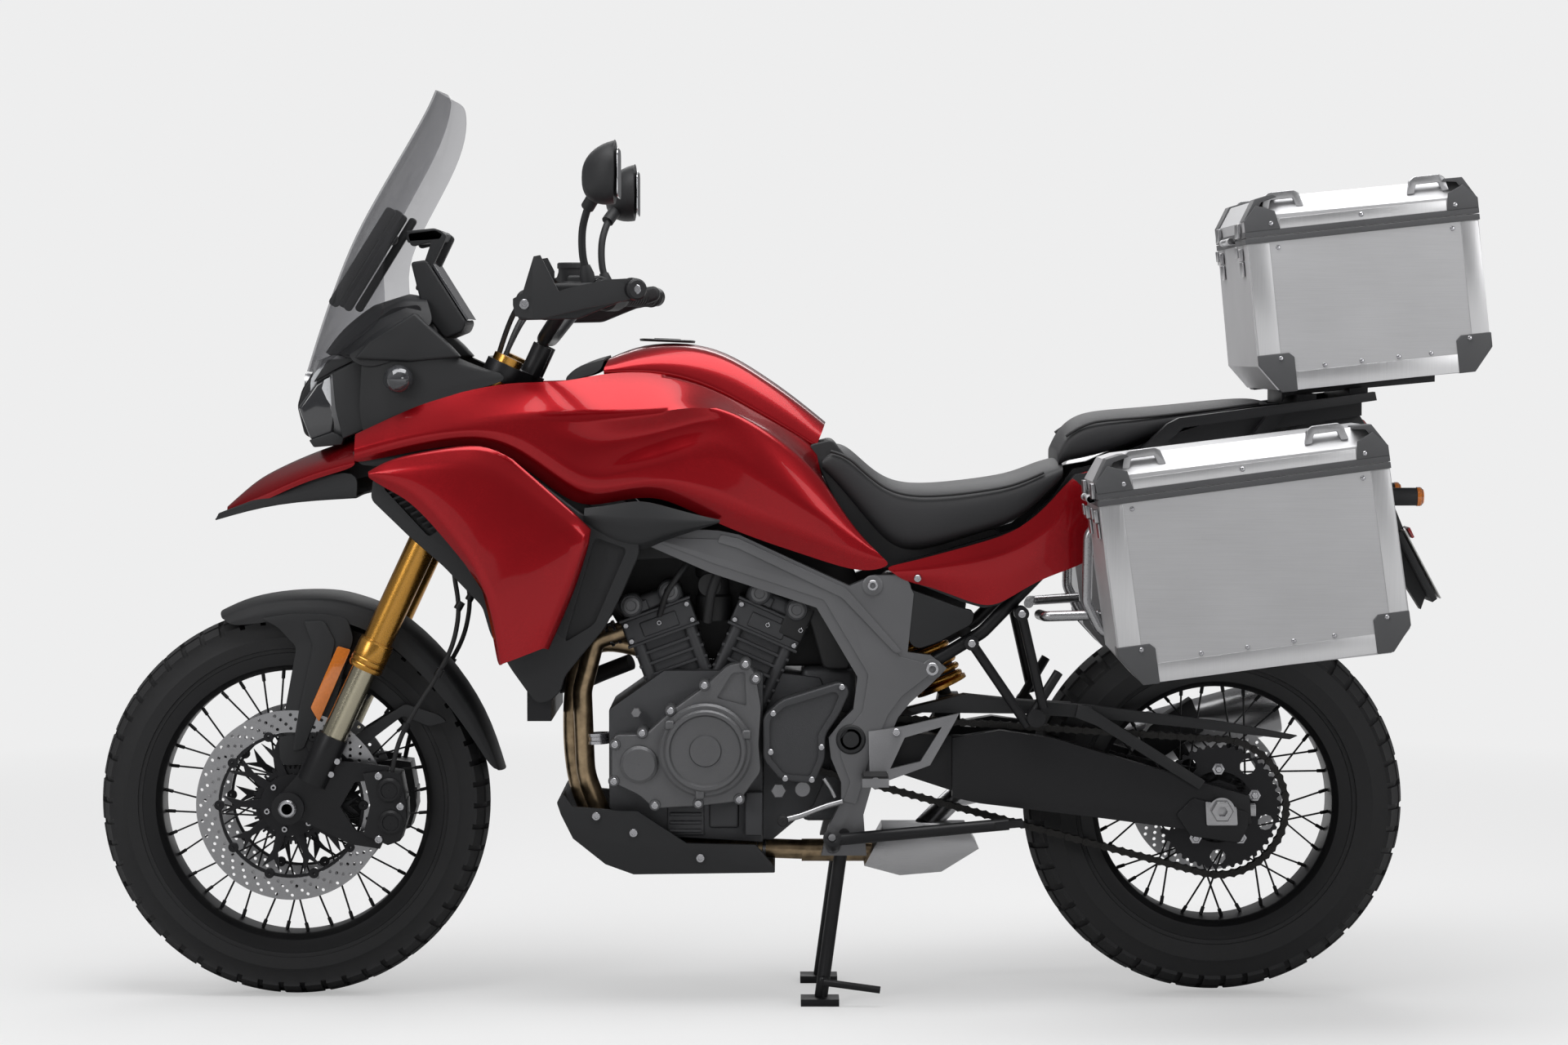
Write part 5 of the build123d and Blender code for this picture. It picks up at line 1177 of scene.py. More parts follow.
# ------------------------------------------------------------------ front fender
# A moulded black plastic fender with a long nose, flanks that wrap the fork legs
# and a low rear flap, bolted to the carriers; an amber reflector on each leg.
fender_lines = [
    [(-950, 0, 655), (-905, 0, 678), (-834, 0, 690), (-760, 0, 691), (-720, 0, 681), (-652, 0, 658), (-570, 0, 583),
        (-502, 0, 484), (-472, 0, 384)],
    [(-952, 34, 652), (-905, 40, 674), (-834, 42, 686), (-760, 42, 687), (-720, 42, 677), (-652, 42, 654),
        (-571, 42, 580), (-504, 40, 482), (-474, 32, 384)],
    [(-946, 56, 644), (-900, 62, 664), (-832, 65, 674), (-762, 66, 675), (-724, 66, 667), (-660, 66, 645),
        (-580, 65, 571), (-512, 62, 476), (-480, 50, 386)],
    [(-934, 64, 636), (-890, 69, 650), (-830, 72, 660), (-766, 73, 661), (-728, 73, 653), (-668, 72, 632),
        (-592, 70, 561), (-524, 66, 470), (-488, 56, 390)],
    [(-925, 64, 630), (-878, 70, 636), (-826, 73, 644), (-770, 74, 645), (-732, 74, 636), (-678, 72, 616),
        (-604, 70, 548), (-536, 66, 462), (-496, 58, 394)]]
fender = skin("fender_shell", fender_lines, wall=3.0, creased=(2, 3), sharpness=0.75)
outward_faces(fender)
flank_forms = [
    ("leg_cover", 64, 76, 7.0, 3.0,
        [(-878, 644), (-826, 652), (-770, 652), (-732, 644), (-722, 610), (-764, 474), (-800, 398), (-838, 396),
        (-855, 406), (-840, 477), (-818, 596), (-850, 630)]),
    ("leg_rib", 74, 80, 6.0, 2.5,
        [(-806, 640), (-770, 640), (-752, 606), (-776, 500), (-806, 424), (-826, 420), (-812, 500), (-790, 598)]),
    ("stay", 64, 76, 5.0, 2.5,
        [(-722, 446), (-636, 500), (-580, 482), (-566, 470), (-596, 462), (-640, 480), (-706, 430), (-722, 432)])]
flanks = [on_both_sides(moulding(label, outline, near, far, rounding=rounding, edge=edge))
    for label, near, far, rounding, edge, outline in flank_forms]
fitted(joined("fender_panels", [fender] + flanks), black_plastic, "steering", "black_plastic", "front_fender",
    smooth=40)
amber = stock_finish("amber_reflector", (0.75, 0.20, 0.01), 0.12, grain=260.0, depth=0.5, coat=1.0)
reflectors = moulded_pair("reflector", [(-748, 598), (-726, 592), (-780, 470), (-794, 494)], 79, 83, rounding=3.0,
    edge=1.0)
fitted(joined("fork_reflectors", reflectors), amber, "steering", "lamp_glass")


# ------------------------------------------------------------------ yokes and handlebar
# Cast yokes, a butted bar of black steel with ribbed rubber grips, brake and
# clutch levers of polished alloy, switch blocks and a fluid reservoir.
softened("fork_yokes", 3.0, black_steel, "steering", "black_steel", segments=3)
dress("handlebar", black_steel)
bar_end, bar_inner = Vector((-238, 452, 1189)), Vector((-345, 205, 1187))
grips, levers, switches, weights = [], [], [], []
for side in (-1, 1):
    end, inner = (Vector((p.x, side * p.y, p.z)) for p in (bar_end, bar_inner))
    run = (end - inner).normalized()
    start = end - run * 135
    ribbed = [(12.2, 0), (20, 0), (20, 4), (17, 6)]
    for n in range(11):
        ribbed += [(17, 10 + 10 * n), (18.2, 11 + 10 * n), (18.2, 16 + 10 * n), (17, 17 + 10 * n)]
    ribbed += [(17, 126), (19, 128), (19, 131), (12.2, 131)]
    grips.append(turned_piece("grip", ribbed, tuple(start * mm), aim=tuple(run), steps=28))
    weight = [(0.5, 0), (15, 0), (17, 3), (17, 16), (14, 20), (6, 20), (5, 15), (0.5, 15)]
    weights.append(turned_piece("bar_weight", weight, tuple((end + run * 2) * mm), aim=tuple(run), steps=28))
    root = start - run * 38
    lever = [root + Vector((-46, 0, 2)), root + Vector((-64, side * 30, 0)), root + Vector((-62, side * 90, -2)),
        end + Vector((-50, 0, -3)), end + Vector((-44, side * 6, -3))]
    levers.append(hose("lever", [tuple(p) for p in lever], 5.6))
    perch = root + Vector((-34, 0, 2))
    switches.append(turned_piece("perch", [(0.5, -15), (19, -15), (22, -8), (22, 8), (19, 15), (0.5, 15)],
        tuple(perch * mm), aim=(0, 0, 1), steps=20))
    switch_place = root - run * 2
    switches.append(turned_piece("switch_block", [(12.5, -24), (23, -24), (26, -20), (26, 20), (23, 24), (12.5, 24)],
        tuple(switch_place * mm), aim=tuple(run), steps=20))
fitted(joined("grips", grips), rubber, "steering", "tyre_rubber")
fitted(joined("bar_weights", weights), black_steel, "steering", "black_steel")
fitted(joined("levers", levers), silver, "steering", "bright_steel", smooth=60)
reservoir = [(0.5, -16), (24, -16), (25, -14), (25, 10), (27, 11), (27, 19), (25, 21), (0.5, 21)]
switches.append(turned_piece("reservoir", reservoir, (-0.372, 0.268, 1.226), aim=(0, 0, 1), steps=36))
switches.append(moulding("switch_housing", [(-350, 1214), (-306, 1214), (-300, 1204), (-300, 1170), (-350, 1170)],
    246, 296, rounding=5.0, edge=4.0))
fitted(joined("bar_controls", switches), black_plastic, "steering", "black_plastic")
cables = []
for side in (-1, 1):
    cables.append(hose("cable", [(-366, side * 262, 1208), (-402, side * 214, 1196), (-436, side * 150, 1174),
        (-462, side * 100, 1130), (-478, side * 84, 1080)], 4.5))
cables.append(hose("brake_line", [(-372, 262, 1200), (-416, 190, 1190), (-452, 110, 1140), (-500, 92, 1040)], 4.0))
fitted(joined("bar_cables", cables), hose_rubber, "steering", "hose_rubber", smooth=60)


# ------------------------------------------------------------------ handguards and mirrors
# Impact-resistant black plastic shields with an upright deflector, and mirrors
# with moulded shells on thin steel stems, with silvered glass towards the rider.
softened("handguards", 5.0, black_plastic, "steering", "black_plastic", segments=3)
shell = [(-426, 1172), (-420, 1186), (-388, 1199), (-264, 1201), (-231, 1209), (-222, 1198), (-224, 1184),
    (-285, 1160), (-326, 1143), (-420, 1141)]
raised_face = [(-404, 1166), (-398, 1180), (-300, 1184), (-262, 1182), (-296, 1166), (-330, 1158)]
shells = [*moulded_pair("shell", shell, 398, 424, rounding=6.0, edge=6.0, corners=4),
    *moulded_pair("raised_face", raised_face, 420, 427, rounding=6.0, edge=3.0)]
fitted(joined("handguard_shells", shells), black_plastic, "steering", "black_plastic")
shell_deep, glass_deep, squareness, half_wide, half_high, tipped = 0.052, 0.004, 0.78, 0.069, 0.050, 0.010
head_place = Vector((-0.268, 0.408, 1.375))
heads = []
for side in (-1, 1):
    put_tools_down()
    bpy.ops.mesh.primitive_uv_sphere_add(segments=40, ring_count=24, radius=1.0)
    head = bpy.context.object
    for corner in head.data.vertices:
        x, y, z = corner.co
        depth = shell_deep if x < 0 else glass_deep
        square = [math.copysign(abs(value) ** squareness, value) for value in (y, z)]
        corner.co = (head_place.x + x * depth, side * head_place.y + square[0] * half_wide,
            head_place.z + square[1] * half_high + x * tipped)
    heads.append(head)
    heads.append(hose("mirror_neck", [(-296, side * 372, 1346), (-306, side * 358, 1334), (-314, side * 348, 1322)],
        11.0))
    heads.append(hose("mirror_stem", [(-312, side * 350, 1324), (-322, side * 336, 1300), (-325, side * 327, 1262),
        (-320, side * 322, 1222), (-300, side * 322, 1190)], 6.2))
    heads.append(turned_piece("stem_boot", [(0.5, -20), (12, -20), (12, 4), (8, 18), (0.5, 18)],
        (-0.316, side * 0.322, 1.212), aim=(-0.2, 0, 1), steps=20))
fitted(joined("mirror_heads", heads), black_plastic, "steering", "black_plastic", "mirrors", smooth=50)
glass_silver = stock_finish("mirror_glass", (0.80, 0.81, 0.83), 0.03, metallic=1.0, grain=120.0, depth=0.0)
panes = []
for side in (-1, 1):
    pane = moulding("pane", [(side * 346, 1341), (side * 346, 1404), (side * 362, 1412), (side * 456, 1412),
        (side * 470, 1404), (side * 470, 1341), (side * 458, 1334), (side * 360, 1334)], 0, 2.0, rounding=6.0,
        edge=0.8)
    pane.data.transform(Matrix.Translation((-0.2622, 0, 0)) @ Matrix.Rotation(math.radians(90), 4, "Z"))
    panes.append(pane)
fitted(joined("mirror_panes", panes), glass_silver, "steering", "display_glass")
screws_each_side("handguard_screws", [(-232, 468, 1189, 8.0), (-408, 452, 1166, 8.0)], "steering")


# ------------------------------------------------------------------ windscreen
# A tall screen of smoked polycarbonate, free-blown to a double curve, on black
# struts with a height rail, a bridge across and a pivot on each side.
def smoked_sheet():
    """Grey-tinted clear plastic that darkens where it is seen edge-on."""
    material = bpy.data.materials.new("smoked_screen")
    material.use_nodes = True
    tree = material.node_tree
    link = tree.links.new
    shader = tree.nodes["Principled BSDF"]
    out = next(node for node in tree.nodes if node.type == "OUTPUT_MATERIAL")
    clear = added(tree, "BsdfTransparent", Color=(0.90, 0.90, 0.91, 1.0))
    blend = added(tree, "MixShader")
    facing = added(tree, "LayerWeight", Blend=0.35)
    tint = added(tree, "MapRange", To_Min=0.10, To_Max=0.52)
    haze = added(tree, "TexNoise", Scale=6.0)
    haze_rough = added(tree, "MapRange", To_Min=0.03, To_Max=0.08)
    place = added(tree, "TexCoord")
    shader.inputs["Base Color"].default_value = (0.05, 0.05, 0.052, 1.0)
    link(place.outputs["Object"], haze.inputs["Vector"])
    link(haze.outputs["Fac"], haze_rough.inputs["Value"])
    link(haze_rough.outputs["Result"], shader.inputs["Roughness"])
    link(facing.outputs["Facing"], tint.inputs["Value"])
    link(tint.outputs["Result"], blend.inputs[0])
    link(clear.outputs[0], blend.inputs[1])
    link(shader.outputs[0], blend.inputs[2])
    link(blend.outputs[0], out.inputs[0])
    return material


# each level of the screen: x and z in the middle, then x, out and z at the edge
levels_of_screen = [(-806, 1058, -781, 104, 1058), (-795, 1100, -704, 176, 1112), (-774, 1168, -645, 214, 1150),
    (-733, 1272, -664, 214, 1222), (-691, 1348, -640, 212, 1290), (-636, 1440, -578, 206, 1396),
    (-600, 1502, -552, 188, 1462), (-588, 1531, -548, 140, 1512)]
screen_lines = []
for share, arc in ((1.0, 1.0), (0.86, 0.70), (0.58, 0.32), (0.28, 0.08), (0.0, 0.0)):
    screen_lines.append([(mx + (ex - mx) * arc, out * share, mz + (ez - mz) * arc)
        for mx, mz, ex, out, ez in levels_of_screen])
screen = skin("windscreen_sheet", screen_lines, wall=3.2)
fitted(screen, smoked_sheet(), "frame", "smoked_screen", "windscreen", smooth=60)

struts = []
for (x0, z0), (x1, z1), out, wide in (((-756, 1168), (-655, 1330), 62, 9), ((-730, 1160), (-632, 1318), 84, 7)):
    run = Vector((x1 - x0, z1 - z0)).normalized()
    aside = Vector((-run.y, run.x)) * wide
    corners = [(x0 - aside.x, z0 - aside.y), (x1 - aside.x, z1 - aside.y), (x1 + aside.x, z1 + aside.y),
        (x0 + aside.x, z0 + aside.y)]
    struts += moulded_pair("strut", corners, out - 7, out + 7, rounding=6.0, edge=2.5)
brace = moulding("screen_brace", [(-628, 1288), (-575, 1295), (-562, 1284), (-585, 1236), (-600, 1190), (-616, 1194),
    (-600, 1240), (-588, 1274), (-622, 1266)], 62, 84, rounding=5.0, edge=3.0)
struts.append(on_both_sides(brace))
struts.append(moulding("screen_bridge", [(-632, 1292), (-582, 1297), (-566, 1288), (-572, 1276), (-628, 1272)], -84,
    84, rounding=4.0, edge=3.0))
for out in (-60, 60):
    struts.append(turned_piece("pivot", [(0.5, -12), (10, -12), (10, 12), (0.5, 12)], (-0.668, out * mm, 1.282),
        steps=18))
fitted(joined("screen_struts", struts), black_plastic, "frame", "black_plastic", smooth=40)


# ------------------------------------------------------------------ headlamp and nose
# A lamp unit with a faceted grey housing and a clear, hooded lens, sunk in a
# black cowl of several facets; indicators stand out of its flanks.
housing = skin("headlamp_housing", [
    [(-770, 60, 950), (-742, 60, 952), (-706, 60, 952), (-668, 60, 966)],
    [(-783, 96, 954), (-748, 106, 950), (-700, 110, 956), (-664, 108, 972)],
    [(-790, 104, 985), (-756, 116, 984), (-700, 119, 984), (-655, 114, 1000)],
    [(-786, 106, 1040), (-752, 117, 1044), (-700, 119, 1040), (-650, 114, 1036)],
    [(-782, 98, 1074), (-742, 106, 1088), (-704, 106, 1082), (-664, 104, 1062)],
    [(-770, 60, 1080), (-738, 60, 1094), (-700, 60, 1092), (-664, 60, 1070)]], wall=3.0, creased=(1, 2, 3, 4),
    sharpness=0.95, ribs=(1, 2))
fitted(housing, cover_grey, "frame", "black_plastic", smooth=35)
lamp_core = moulding("headlamp_core", [(-812, 1000), (-800, 952), (-782, 944), (-742, 956), (-690, 960), (-680, 1070),
    (-742, 1084), (-778, 1070), (-804, 1028)], -96, 96, rounding=6.0, edge=5.0)
fitted(lamp_core, black_steel, "frame", "black_plastic")
flank = [(-750, 1056), (-702, 1080), (-662, 1004), (-678, 970), (-733, 946), (-745, 998)]
brow = [(-782, 1040), (-757, 1078), (-702, 1082), (-750, 1058)]
chin = [(-790, 944), (-782, 932), (-735, 936), (-731, 948), (-750, 958)]
facets = [*moulded_pair("flank", flank, 40, 125, edge=3.0, corners=2),
    *moulded_pair("brow", brow, 30, 120, edge=2.5, corners=2),
    *moulded_pair("chin", chin, 20, 118, edge=2.5, corners=2)]
fitted(joined("headlamp_facets", facets), black_plastic, "frame", "black_plastic", smooth=25)
pane = [(-808, 998), (-779, 1038), (-750, 1056), (-745, 998), (-750, 956), (-787, 943)]
lens_blocks = moulded_pair("pane", pane, 60, 116, edge=6.0)
bar_line = [(-764, 1044), (-754, 1049), (-752, 1000), (-760, 1012), (-768, 1030)]
guide_bars = moulded_pair("guide_bar", bar_line, 114, 117, edge=0.6)
pane_glass = stock_finish("lamp_pane", (0.030, 0.031, 0.034), 0.08, grain=240.0, depth=0.0, coat=0.8)
fitted(joined("headlamp_panes", lens_blocks), pane_glass, "frame", "lamp_glass", smooth=40)
lens_lines = [
    [(-792, 40, 952), (-800, 46, 976), (-812, 44, 1000), (-802, 48, 1028), (-784, 50, 1056), (-770, 52, 1074)],
    [(-788, 72, 954), (-797, 80, 976), (-808, 82, 1000), (-798, 84, 1030), (-780, 84, 1056), (-768, 80, 1074)],
    [(-776, 96, 956), (-788, 103, 978), (-794, 106, 1000), (-790, 107, 1030), (-777, 104, 1056), (-764, 98, 1072)]]
lens_glass = stock_finish("lamp_glass", (0.075, 0.077, 0.083), 0.06, metallic=0.5, grain=240.0, depth=0.0, coat=1.0)
lens = skin("headlamp_lens", lens_lines, wall=2.0)
fitted(lens, lens_glass, "frame", "lamp_glass", "headlamp", smooth=60)
light_bar = stock_finish("light_guide", (0.62, 0.63, 0.65), 0.18, grain=300.0, depth=0.05, coat=1.0)
fitted(joined("light_guide_bars", guide_bars), light_bar, "frame", "lamp_glass")
guides = skin("light_guides", [
    [(-790, 108, 1046), (-772, 106, 1066), (-758, 103, 1078)],
    [(-786, 109.5, 1030), (-770, 108.5, 1050), (-755, 105, 1066)],
    [(-792, 108.5, 1004), (-783, 109.2, 1026), (-776, 108.4, 1040)]], wall=1.5, levels=1)
fitted(guides, light_bar, "frame", "lamp_glass", smooth=60)
bowl = [(3, 0), (19, 3), (22, 12), (24, 12), (22, 0), (10, -6)]
bowls = [turned_piece("projector", bowl, (-0.790, side * 0.052, z * mm), aim=(-1, 0, 0), steps=28)
    for side in (-1, 1) for z in (978, 1032)]
fitted(joined("lamp_projectors", bowls), silver, "frame", "lamp_glass")

cowl_pieces = [skin("cowl_top", [
    [(-770, 0, 1092), (-742, 0, 1136), (-690, 0, 1172), (-630, 0, 1190), (-600, 0, 1182)],
    [(-768, 60, 1090), (-740, 62, 1130), (-690, 66, 1166), (-630, 72, 1186), (-598, 74, 1180)],
    [(-758, 96, 1086), (-728, 102, 1120), (-684, 106, 1152), (-632, 106, 1178), (-594, 100, 1176)],
    [(-716, 128, 1086), (-696, 128, 1112), (-668, 126, 1138), (-625, 122, 1160), (-588, 114, 1160)],
    [(-704, 140, 1080), (-664, 142, 1090), (-640, 142, 1100), (-606, 140, 1120), (-580, 132, 1138)]], wall=3.0,
    creased=(1, 2, 3), sharpness=0.92, ribs=(2, 3))]
cowl_pieces.append(skin("cowl_band", [
    [(-716, 140, 1076), (-688, 148, 1062), (-640, 152, 1078), (-584, 150, 1104)],
    [(-720, 136, 1086), (-692, 145, 1104), (-640, 148, 1130), (-596, 144, 1130)],
    [(-712, 126, 1094), (-684, 134, 1118), (-640, 136, 1146), (-606, 132, 1146)]], wall=3.0, creased=(1,),
    sharpness=0.9))
cowl_pieces.append(skin("cowl_side", [
    [(-700, 120, 940), (-664, 140, 956), (-621, 150, 984), (-554, 151, 1010), (-500, 150, 1032), (-462, 148, 1042)],
    [(-704, 132, 1000), (-664, 146, 1010), (-616, 153, 1022), (-556, 153, 1034), (-506, 151, 1044),
        (-464, 148, 1050)],
    [(-700, 138, 1060), (-664, 148, 1060), (-614, 153, 1072), (-566, 152, 1076), (-516, 150, 1064),
        (-470, 146, 1056)],
    [(-700, 136, 1078), (-662, 146, 1080), (-612, 150, 1096), (-574, 148, 1098), (-520, 144, 1072),
        (-474, 140, 1056)]], wall=3.0, creased=(1, 2), sharpness=0.92, ribs=(1, 3)))
cowl_pieces.append(skin("beak_tray", [[(-960, 0, 806), (-850, 0, 838), (-712, 0, 850)],
    [(-962, 12, 806), (-850, 78, 838), (-708, 152, 848)],
    [(-956, 14, 818), (-848, 82, 852), (-706, 158, 866)],
    [(-944, 12, 823), (-848, 78, 858), (-706, 154, 904)]], wall=3.0, creased=(1, 2), sharpness=0.9))
shoulder = [(-710, 1080), (-686, 1108), (-610, 1156), (-594, 1140), (-552, 1102), (-534, 1082), (-620, 1074)]
cowl_pieces += moulded_pair("shoulder", shoulder, 118, 157, edge=5.0, corners=2)
fitted(joined("nose_panels", cowl_pieces), black_plastic, "frame", "black_plastic", "nose_cowl", smooth=40)
lining = [(-715, 926), (-640, 946), (-530, 952), (-410, 908), (-320, 862), (-320, 820), (-420, 850), (-540, 890),
    (-700, 904)]
linings = moulded_pair("lining", lining, 152, 157, rounding=6.0, edge=1.0)
linings.append(moulding("beak_bridge", [(-812, 868), (-760, 892), (-690, 912), (-648, 918), (-648, 894), (-700, 882),
    (-770, 864)], -72, 72, rounding=4.0, edge=2.0))
fitted(joined("cheek_linings", linings), black_plastic, "frame", "black_plastic")
inner = moulding("nose_core", [(-700, 930), (-664, 966), (-600, 1000), (-590, 1096), (-604, 1170), (-650, 1164),
    (-724, 1110), (-742, 1090), (-712, 1070)], -118, 118, rounding=8.0, edge=6.0)
fitted(inner, black_steel, "frame", "black_plastic")
bulb = [(0.4, -30), (16, -22), (24, -4), (24, 6), (17, 20), (0.4, 28)]
signals = [turned_piece("indicator", bulb, (-0.636, side * 0.166, 1.046), aim=(-0.2, side * 0.35, 0.0), steps=28)
    for side in (-1, 1)]
fitted(joined("front_indicators", signals), lens_glass, "frame", "lamp_glass", smooth=50)

display = moulding("display_case", [(-622, 1240), (-596, 1244), (-530, 1140), (-536, 1124), (-566, 1112),
    (-602, 1158)], -92, 92, rounding=5.0, edge=4.0)
fitted(display, black_plastic, "frame", "display_glass", "instrument_display")
glass = moulding("display_glass", [(-594, 1243), (-530, 1143), (-527, 1145), (-590, 1246)], -82, 82, edge=0.8)
fitted(glass, lens_glass, "frame", "display_glass")


# ------------------------------------------------------------------ seats
# A stepped rider's saddle and a raised passenger's cushion: foam under fine
# black leathercloth with a welted seam, on a hidden plastic base.
def cushion(name, stations):
    """A padded form from its cross-sections, each a row of (x, out, z) round from the underside to the crown."""
    piece = skin(name, stations, wall=0, levels=3)
    hold(piece)
    open_mesh("DESELECT")
    bpy.ops.mesh.select_non_manifold()
    bpy.ops.mesh.edge_face_add()
    bpy.ops.mesh.select_all(action="SELECT")
    bpy.ops.mesh.normals_make_consistent(inside=False)
    close_mesh()
    return piece


def cushion_rows(table, rows):
    """Rows along the cushion: table gives x, half width, underside, side top and crown heights."""
    lines = []
    for share_out, kind in rows:
        line = []
        for x, half, under, shoulder, crown in table:
            height = {"under": under, "low": under + 0.25 * (shoulder - under),
                "side": shoulder - 0.25 * (shoulder - under), "shoulder": shoulder,
                "top": shoulder + 0.8 * (crown - shoulder), "crown": crown}[kind]
            line.append((x, half * share_out, height))
        lines.append(line)
    return lines


rows = [(0.0, "under"), (0.85, "under"), (0.98, "low"), (1.0, "side"), (0.93, "shoulder"), (0.62, "top"),
    (0.0, "crown")]
rider_table = [(64, 104, 892, 912, 917), (78, 106, 876, 926, 938), (104, 110, 846, 920, 936),
    (138, 116, 806, 888, 902), (173, 124, 765, 862, 876), (214, 134, 752, 852, 868), (270, 146, 768, 854, 871),
    (332, 153, 788, 862, 878), (387, 155, 806, 872, 887), (430, 150, 842, 892, 906), (462, 144, 878, 902, 913)]
passenger_table = [(456, 128, 898, 926, 930), (468, 134, 908, 952, 962), (498, 142, 912, 974, 988),
    (550, 144, 926, 980, 994), (608, 138, 946, 984, 998), (680, 128, 968, 992, 1005), (747, 118, 988, 1000, 1012),
    (790, 110, 998, 1006, 1013), (806, 104, 1001, 1005, 1008)]
leather = stock_finish("seat_leather", (0.024, 0.024, 0.026), 0.52, grain=1600.0, depth=0.6, drift=0.15)
seat_base = moulding("seat_base", [(40, 935), (80, 945), (150, 862), (200, 805), (360, 795), (360, 735), (160, 728),
    (95, 820)], -95, 95, rounding=8.0, edge=3.0)
fitted(seat_base, black_plastic, "frame", "black_plastic")
for label, table, node in (("rider_cushion", rider_table, "rider_seat"),
        ("passenger_cushion", passenger_table, "passenger_seat")):
    pad = cushion(label, cushion_rows(table, rows))
    fitted(pad, leather, "frame", "seat_cover", node, smooth=60)
welts = []
for side in (-1, 1):
    for table in (rider_table, passenger_table):
        seam_line = [(x, side * (half * 0.955 + 1.5), shoulder - 1) for x, half, under, shoulder, crown in table[1:-1]]
        welts.append(hose("welt", seam_line, 2.6, sides=3))
welt_black = stock_finish("welt_vinyl", (0.014, 0.014, 0.015), 0.5, grain=1400.0)
fitted(joined("seat_welts", welts), welt_black, "frame", "seat_cover", smooth=60)


# ------------------------------------------------------------------ tail panels and rack
# A red painted panel under the seat on each side, with a black cover below it,
# and a cast black carrier with grab rails behind.
tail_lines = [
    [(168, 149, 735), (203, 150, 742), (257, 151, 756), (330, 152, 776), (392, 152, 796), (446, 150, 846),
        (480, 147, 890), (520, 142, 898)],
    [(176, 152, 728), (212, 154, 730), (262, 156, 738), (330, 157, 750), (392, 157, 768), (446, 154, 806),
        (486, 150, 842), (530, 144, 862)],
    [(190, 152, 718), (225, 154, 716), (272, 156, 714), (332, 157, 716), (396, 156, 734), (452, 153, 766),
        (494, 149, 790), (540, 143, 816)],
    [(204, 149, 710), (240, 150, 702), (280, 151, 688), (330, 152, 668), (362, 152, 674), (420, 151, 714),
        (486, 148, 734), (540, 142, 764)]]
side_panel = skin("tail_panel", tail_lines, wall=0, mirrored=False, creased=(1,), sharpness=0.7)
hold(side_panel)
fitted(on_both_sides(thickened(side_panel, 4.0)), red, "frame", "red_paint", "tail_panels", smooth=45)
tail_core = moulded_pair("tail_core", [(190, 726), (257, 752), (392, 792), (446, 842), (482, 888), (560, 900),
    (700, 920), (700, 884), (560, 852), (506, 800), (486, 738), (419, 716), (358, 672), (331, 666), (297, 676),
    (222, 706)], 119, 147, rounding=4.0, edge=3.0)
tail_cover = moulded_pair("tail_cover", [(183, 707), (300, 664), (316, 662), (312, 640), (256, 610), (222, 598),
    (208, 608)], 120, 149, rounding=8.0, edge=4.0)
fitted(joined("tail_covers", tail_core + tail_cover), black_plastic, "frame", "black_plastic")
screws_each_side("tail_screws", [(221, 157, 716, 6.0)])
softened("luggage_rack", 3.0, black_steel, "frame", "black_plastic", segments=3)
rack_steel = stock_finish("rack_steel", (0.42, 0.42, 0.43), 0.28, metallic=1.0, grain=400.0, depth=0.1)
dress("pannier_rack", rack_steel)


# ------------------------------------------------------------------ tail lamp, plate and rear signals
# A red lamp bar under the carrier, indicators on short stalks, and a black
# hanger with a blank plate and a red reflector.
softened("tail_lamp_and_plate", 2.5, black_plastic, "frame", "black_plastic")
red_glass = stock_finish("red_lamp_glass", (0.35, 0.008, 0.006), 0.10, grain=300.0, depth=0.2, coat=1.0)
plate_white = stock_finish("blank_plate", (0.62, 0.62, 0.60), 0.4, grain=500.0, depth=0.05)
lamp_bar = moulding("lamp_bar", [(956, 978), (968, 978), (980, 962), (975, 950), (958, 948)], -88, 88, rounding=3.0,
    edge=2.5)
rear_reflector = moulding("rear_reflector", [(1052, 792), (1060, 776), (1064, 778), (1056, 795)], -30, 30, edge=1.0)
fitted(joined("red_lamps", [lamp_bar, rear_reflector]), red_glass, "frame", "lamp_glass")
number_plate = moulding("number_plate", [(1042, 790), (1103, 676), (1105, 677), (1044, 791)], -58, 58, edge=0.6)
fitted(number_plate, plate_white, "frame", "black_plastic")
lens_form = [(0.4, 0), (16, 0), (16, 6), (12, 11), (0.4, 13)]
signals = [turned_piece("rear_signal", lens_form, (1.052, side * 0.118, 0.850), aim=(1, 0, 0), steps=28)
    for side in (-1, 1)]
fitted(joined("rear_signals", signals), amber, "frame", "lamp_glass")


# ------------------------------------------------------------------ luggage cases
# Riveted aluminium boxes with brushed sheet sides, bright folded edges, grey
# nylon corner caps and rim bands, a bevelled lid, latches, hinges and handles.
case_metal = stock_finish("case_aluminium", (0.60, 0.60, 0.61), 0.58, metallic=1.0, grain=240.0, depth=0.12,
    drift=0.08, brushed=(0.06, 3.0, 3.0))
case_bright = stock_finish("case_edge_aluminium", (0.72, 0.72, 0.73), 0.34, metallic=1.0, grain=240.0, depth=0.08,
    drift=0.05, brushed=(3.0, 3.0, 0.06))
case_grey = stock_finish("case_nylon", (0.085, 0.086, 0.09), 0.5, grain=1200.0, depth=0.4)
lid_bevel = 30 * mm
latch_metal = stock_finish("latch_metal", (0.46, 0.46, 0.47), 0.32, metallic=1.0, grain=500.0, depth=0.1)


def case_frame(seam_front, seam_rear):
    """Places a point given along the seam from its front end, and up from the seam, both in mm."""
    along = (Vector(seam_rear) - Vector(seam_front)).normalized()
    above = Vector((-along.y, along.x))

    def place(u, v):
        spot = Vector(seam_front) + along * u + above * v
        return (spot.x, spot.y)
    return place


